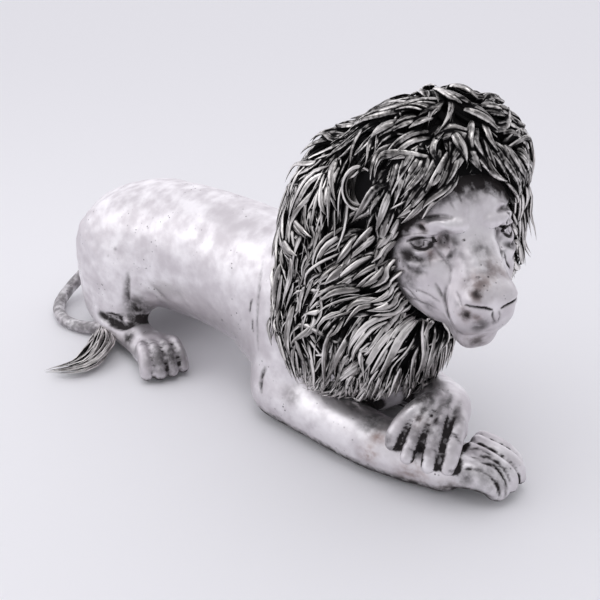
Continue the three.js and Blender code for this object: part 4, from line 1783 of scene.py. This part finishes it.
    def drawn(self, tree: BVHTree, mass: Mass, under: Mass, rng: np.random.Generator) -> list[Strip]:
        """The large strips that the photograph shows one by one, and their mirror images.

        Args:
            tree: the mane's mass and the head, to be looked at.
            mass: the mane's own mass, which the mirror images stay near.
            under: the mass with the skin beneath it.
            rng: the source of chance.

        Returns:
            The strips.
        """
        share = np.linspace(0, 1, self.steps + 1)
        lines, levels = [], []
        for pixels in self.combing().values():
            seen = EYE.on(tree, pixels)
            if len(seen) < 2:
                continue
            course = spline(seen, share * (len(seen) - 1))
            other = HEAD.mirrored(course)
            apart = np.linalg.norm(course - other, axis=1).min() > self.apart
            twice = apart and mass.distance(other).max() < self.overhang
            for line in (course, other) if twice else (course,):
                ahead = unit(np.gradient(line, axis=0))
                side = np.array(EYE.back())
                side = unit(np.cross(ahead, side - (ahead @ side)[:, None] * ahead))
                for place in (-1, 1):
                    beside = side * (place * rng.uniform(0.003, 0.007))
                    lines.append(line + beside + ahead * rng.normal(0, 0.006))
                    levels.append(rng.uniform(0.009, 0.016) * np.sin(math.pi * (0.1 + 0.62 * share)))
        heights = np.concatenate(levels)
        points = under.settled(np.concatenate(lines), heights, 3)
        here = under.distance(points)
        away = np.abs(here - heights).reshape(len(lines), -1)
        out = unit(under.slope(points, here))
        shape = (len(lines), len(share), 3)
        steps = np.linalg.norm(np.diff(points.reshape(shape), axis=1), axis=2)
        lies = (away.max(axis=1) < self.overhang / 2) & (steps.max(axis=1) < self.most_step)
        lies &= ~self.over_ear(points, self.ear_share).reshape(len(lines), -1).any(axis=1)
        return [
            self.drawn_stock.cut(path, away_from, rng)
            for path, away_from in zip(points.reshape(shape)[lies], out.reshape(shape)[lies])
            if self.turned(path)[-1] < self.most_bent
        ]

    def hanging(self) -> dict[str, list[Pixel]]:
        """The loose strips that the photograph shows past the left side of the face."""
        return {
            "outer": [(524, 180), (531, 196), (530, 212), (534, 226), (536, 240)],
            "outer_inside": [(521, 184), (527, 200), (528, 218), (530, 236)],
            "upper_curl": [(514, 180), (522, 192), (529, 202), (533, 216)],
            "middle": [(516, 196), (522, 212), (523, 232), (528, 250), (533, 258)],
            "middle_outside": [(520, 196), (526, 214), (527, 232), (524, 252)],
            "middle_dark": [(515, 204), (521, 224), (523, 246), (525, 266)],
            "inner": [(511, 202), (516, 222), (516, 242), (522, 264)],
            "inner_low": [(508, 220), (511, 238), (511, 256), (516, 278)],
            "cheek_loose": [(504, 236), (508, 252), (507, 264), (512, 276)],
        }

    def loose(self, rng: np.random.Generator) -> list[Strip]:
        """The loose strips, hung down at the left edge of the mane.

        Args:
            rng: the source of chance.

        Returns:
            The strips.
        """
        front = HEAD.metre(1, 0)
        at = Vector(EYE.at)
        plane = HEAD.place(self.loose_ahead, 0, 0) - at
        strips = []
        for pixels in self.hanging().values():
            rays = [EYE.ray(pixel) for pixel in pixels]
            knots = np.array([at + ray * (plane.dot(front) / ray.dot(front)) for ray in rays])
            root = knots[0] + 0.35 * (np.array(HEAD.place(-60, 60, 30)) - knots[0])
            knots = np.vstack((root, knots))
            path = spline(knots, np.linspace(0, len(knots) - 1, self.steps + 1))
            for back in (0.0, 0.014):
                moved = path - np.array(front) * back + rng.normal(0, 0.0025, 3)
                out = np.tile(np.array(front), (len(path), 1))
                strips.append(self.loose_stock.cut(moved, out, rng))
        return strips

    def on_face(self, points: np.ndarray) -> np.ndarray:
        """Whether places lie over the bare face, on either side of it."""
        edge = np.array(list(self.bare_face().values()))
        middle = np.array(HEAD.place(20, 0, -20))
        mirrored = HEAD.mirrored(points)
        on_left = ((points - mirrored) @ np.array(HEAD.metre(0, 1)) > 0)[:, None]
        x, y = EYE.pixels(np.where(on_left, mirrored, points)).T
        inside = np.zeros(len(points), bool)
        for (x0, y0), (x1, y1) in zip(edge, np.roll(edge, -1, axis=0)):
            between = (y0 > y) != (y1 > y)
            inside ^= between & (x < x0 + (y - y0) * (x1 - x0) / (y1 - y0 or TINY))
        near = np.linalg.norm(points - middle, axis=1) < self.face_round
        return inside & near & ((points - middle) @ np.array(HEAD.metre(1, 0)) > -self.face_back)

    def over_ear(self, points: np.ndarray, share: float) -> np.ndarray:
        """Whether places lie in front of an ear, in this share of the room that it has."""
        barred = np.zeros(len(points), bool)
        for hand in HANDS:
            front = np.array(HEAD.ear(hand, ahead=18, out=4, above=2))
            barred |= np.linalg.norm(points - front, axis=1) < share * self.ear_room
        return barred

    def turned(self, path: np.ndarray) -> np.ndarray:
        """How far a path has turned at each of its places, in radians."""
        ways = unit(np.diff(path, axis=0))
        turns = np.arccos(np.clip((ways[1:] * ways[:-1]).sum(axis=1), -1, 1))
        return np.concatenate(([0.0, 0.0], np.cumsum(turns)))

    def trimmed(self, strips: list[Strip], mass: Mass) -> list[Strip]:
        """Strips cut back where they would run over the face, or far off the mane.

        Args:
            strips: the strips as they were drawn.
            mass: the mane's own mass.

        Returns:
            Those that stay long enough.
        """
        every = np.concatenate([strip.path for strip in strips])
        reach = np.where(every[:, 2] < self.low_below, self.low_overhang, 1.0) * self.overhang
        barred = self.on_face(every) | (mass.distance(every) > reach)
        barred |= self.over_ear(every, 1.0)
        kept = []
        for strip, stops in zip(strips, barred.reshape(len(strips), -1)):
            stops = stops | (self.turned(strip.path) > self.most_bent)
            last = int(np.argmax(stops)) - 1 if stops.any() else self.steps
            if last < self.shortest:
                continue
            run = np.linspace(0, last, self.steps + 1)
            strip.path, strip.out = spline(strip.path, run), unit(spline(strip.out, run))
            kept.append(strip)
        return kept

    def build(self, finish: bpy.types.Material, body: Mass, head: Mass) -> None:
        """Makes the mane.

        Args:
            finish: the finish of its strips.
            body: the form of the trunk beneath it.
            head: the form of the head beneath it.
        """
        rng = np.random.default_rng(SEED)
        mass = self.mass()
        core = mass.mesh("mane_mass", self.voxel, -self.sink)
        self.places, self.ways = self.comb(tree_of(core))
        under = Mass([mass, body, head], soft=0.002)
        strips = self.trimmed(self.grow(self.roots(core, rng), under, rng), mass)
        strips += self.drawn(tree_of(core, bpy.data.meshes["head"]), mass, under, rng)
        strips += self.loose(rng)
        template = StripTemplate()
        crown = [strip for strip in strips if strip.path[0][2] > self.crown_above]
        ruff = [strip for strip in strips if strip.path[0][2] <= self.crown_above]
        meshes = [template.lay("mane_crown_strips", crown), template.lay("mane_ruff_strips", ruff)]
        tree = tree_of(*meshes, core)
        for mesh in meshes:
            points = points_of(mesh)
            # Points shut in among the strips, and low under the mass, are painted dark: patina and painted
            # shade.
            sunk = Shelter().of(mesh, tree) + 0.45 * ease(0.005, -0.004, mass.distance(points))
            # Painted shade, darker towards the top of the crown, for the deep gaps there.
            sunk += self.crown_shade * ease(0.47, 0.56, points[:, 2])
            paint(mesh, "sunk", np.clip(sunk, 0, 1))
        # The mass under the strips is painted black all over, as patina and the shade between them.
        paint(core, "sunk", np.ones(len(core.vertices)))
        paint(core, "edge", np.zeros(len(core.vertices)))
        finished(core, finish, Slot.STRIPS, "mane")
        for mesh in meshes:
            finished(mesh, finish, Slot.STRIPS)


@dataclass
class Tail:
    """The bent bar and the tuft of strips on its end."""

    bar: float = 0.028
    dent: float = 0.0008
    dent_wide: float = 0.02
    dark_tone: float = 0.46
    strips: int = 24
    layers: int = 3
    layer_thick: float = 0.0055
    tuft_crown: float = 0.003
    tuft_wide: float = 0.027
    stock: Stock = Stock((0.008, 0.013), (0.0055, 0.0055), 0.4, 1.6)

    def path(self) -> np.ndarray:
        """The middle of the bar, from the rump to its end on the floor."""
        rest = self.bar / 2 / MM
        return np.array(
            [
                (-660, 14, 150), (-716, -8, 92), (-738, -66, 26 + rest), (-702, -145, 2 + rest),
                (-630, -186, rest), (-560, -180, 1 + rest), (-505, -158, 12 + rest),
            ]
        ) * MM

    def tuft_path(self) -> np.ndarray:
        """The middle of the tuft, from the bar's end to the strips' points."""
        return np.array([(-505, -158, 26), (-450, -206, 22), (-412, -282, 16), (-462, -348, 9)]) * MM

    def build_bar(self, steel: bpy.types.Material) -> None:
        """Makes the bar."""
        knots = self.path()
        line = spline(knots, np.linspace(0, len(knots) - 1, 49))
        curve = bpy.data.curves.new("tail_bar", "CURVE")
        curve.dimensions = "3D"
        curve.bevel_depth = self.bar / 2
        curve.bevel_resolution = 5
        curve.use_fill_caps = True
        course = curve.splines.new("POLY")
        course.points.add(len(line) - 1)
        for point, at in zip(course.points, line):
            point.co = (*at, 1)
        relief = Relief(mesh_of(bpy.data.objects.new("tail_bar", curve), "tail_bar"))
        relief.hammer(self.dent, self.dent_wide)
        relief.soot_and_shade += self.dark_tone
        relief.stain({"tuft_root_smoke": Stain((118, 335), 0.03, soot_and_shade=0.6)})
        finished(relief.done(), steel, Slot.SKIN, "tail")

    def build_tuft(self, finish: bpy.types.Material) -> None:
        """Makes the tuft, in layers of strips that lie side by side."""
        rng = np.random.default_rng(SEED + 1)
        knots = self.tuft_path()
        last = len(knots) - 1
        strips = []
        for n in range(self.strips):
            layer = n % self.layers
            place = (n / (self.strips - 1) - 0.5) * 2
            reach = rng.uniform(0.74, 1.0) * last
            run = np.linspace(0.0 if layer else 0.25, reach, 10)
            line = spline(knots, run)
            ahead = unit(np.gradient(line, axis=0))
            across = unit(np.cross(np.array(UP), ahead))
            swell = np.sin(math.pi * (0.1 + 0.84 * run / last))
            line = line + across * (place * self.tuft_wide * swell)[:, None]
            wave = 0.004 * np.sin(math.tau * (run / 2.2 + rng.uniform()))
            line = line + across * wave[:, None]
            line[:, 2] += (layer * self.layer_thick + self.tuft_crown * (1 - abs(place))) * swell
            out = np.tile(np.array(UP), (len(line), 1)) + across * (place * 0.6)
            strips.append(self.stock.cut(line, out, rng))
        mesh = StripTemplate().lay("tail_tuft_strips", strips)
        points = points_of(mesh)
        points[:, 2] = np.maximum(points[:, 2], 0)
        move_points(mesh, points)
        # Points shut in among the tuft's strips are painted dark: patina and painted shade.
        paint(mesh, "sunk", np.clip(Shelter().of(mesh, tree_of(mesh)), 0, 1))
        finished(mesh, finish, Slot.STRIPS, "tail_tuft")


@dataclass(frozen=True)
class Studio:
    """A plain pale floor and soft light, which is dimmer on one side."""

    floor: Colour = (0.885, 0.88, 0.905, 1)
    floor_half: float = 14
    sky: Colour = (0.87, 0.865, 0.905, 1)
    sky_most: float = 1.44
    sky_least: float = 0.68
    dim_side: Place = (0.85, -0.3, 0.35)
    aim: Place = (-0.1, 0, 0.2)

    def light(self, name: str, at: Place, size: float, power: float) -> None:
        """Hangs one soft box, turned to the lion.

        Args:
            name: its name.
            at: its place.
            size: its width.
            power: its power in watts.
        """
        lamp = bpy.data.lights.new(name, "AREA")
        lamp.shape = "DISK"
        lamp.size = size
        lamp.energy = power
        box = bpy.data.objects.new(name, lamp)
        box.location = at
        box.rotation_euler = (Vector(self.aim) - Vector(at)).to_track_quat("-Z", "Y").to_euler()
        bpy.context.scene.collection.objects.link(box)

    def build(self) -> None:
        """Lays the floor and hangs the lights."""
        bm = bmesh.new()
        bmesh.ops.create_grid(bm, x_segments=1, y_segments=1, size=self.floor_half)
        mesh = bpy.data.meshes.new("floor")
        bm.to_mesh(mesh)
        bm.free()
        paper = bpy.data.materials.new("studio_paper")
        paper.use_nodes = True
        Graph(paper.node_tree).dress(Base_Color=self.floor, Roughness=0.9)
        mesh.materials.append(paper)
        floor = bpy.data.objects.new("floor", mesh)
        bpy.context.scene.collection.objects.link(floor)
        floor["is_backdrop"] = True
        world = bpy.data.worlds.new("studio")
        world.use_nodes = True
        graph = Graph(world.node_tree)
        sky = world.node_tree.nodes["Background"]
        sky.inputs["Color"].default_value = self.sky
        toward = graph.add("ShaderNodeVectorMath", {"operation": "DOT_PRODUCT"})
        graph.feed(toward, 0, graph.add("ShaderNodeTexCoord").outputs["Generated"])
        graph.feed(toward, 1, tuple(Vector(self.dim_side).normalized()))
        strength = graph.ramp(toward.outputs["Value"], -1.0, 1.0, self.sky_most, self.sky_least)
        graph.feed(sky, "Strength", strength)
        bpy.context.scene.world = world
        self.light("key", at=(-1.5, -1.8, 1.6), size=1.7, power=6)
        self.light("top", at=(0.5, -0.3, 2.8), size=1.5, power=8)
        bpy.context.scene.view_settings.view_transform = "Standard"


def main() -> None:
    """Builds the lion and its studio."""
    logging.basicConfig(level=logging.INFO, format="%(name)s: %(message)s")
    EYE.make()
    Studio().build()
    surface = hammered_group()
    steel = SteelFinish().make(surface)
    strips = StripFinish().make(surface)
    mane = Mane()
    body = Trunk().build(steel)
    head = Head().build(steel, strips, mane.mass())
    mane.build(strips, body, head)
    tail = Tail()
    tail.build_bar(steel)
    tail.build_tuft(strips)


if __name__ == "__main__":
    main()
    boxes = {"cad": cad_bounds, "visual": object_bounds()}
    {name: [list(corner) for corner in box] for name, box in boxes.items()}
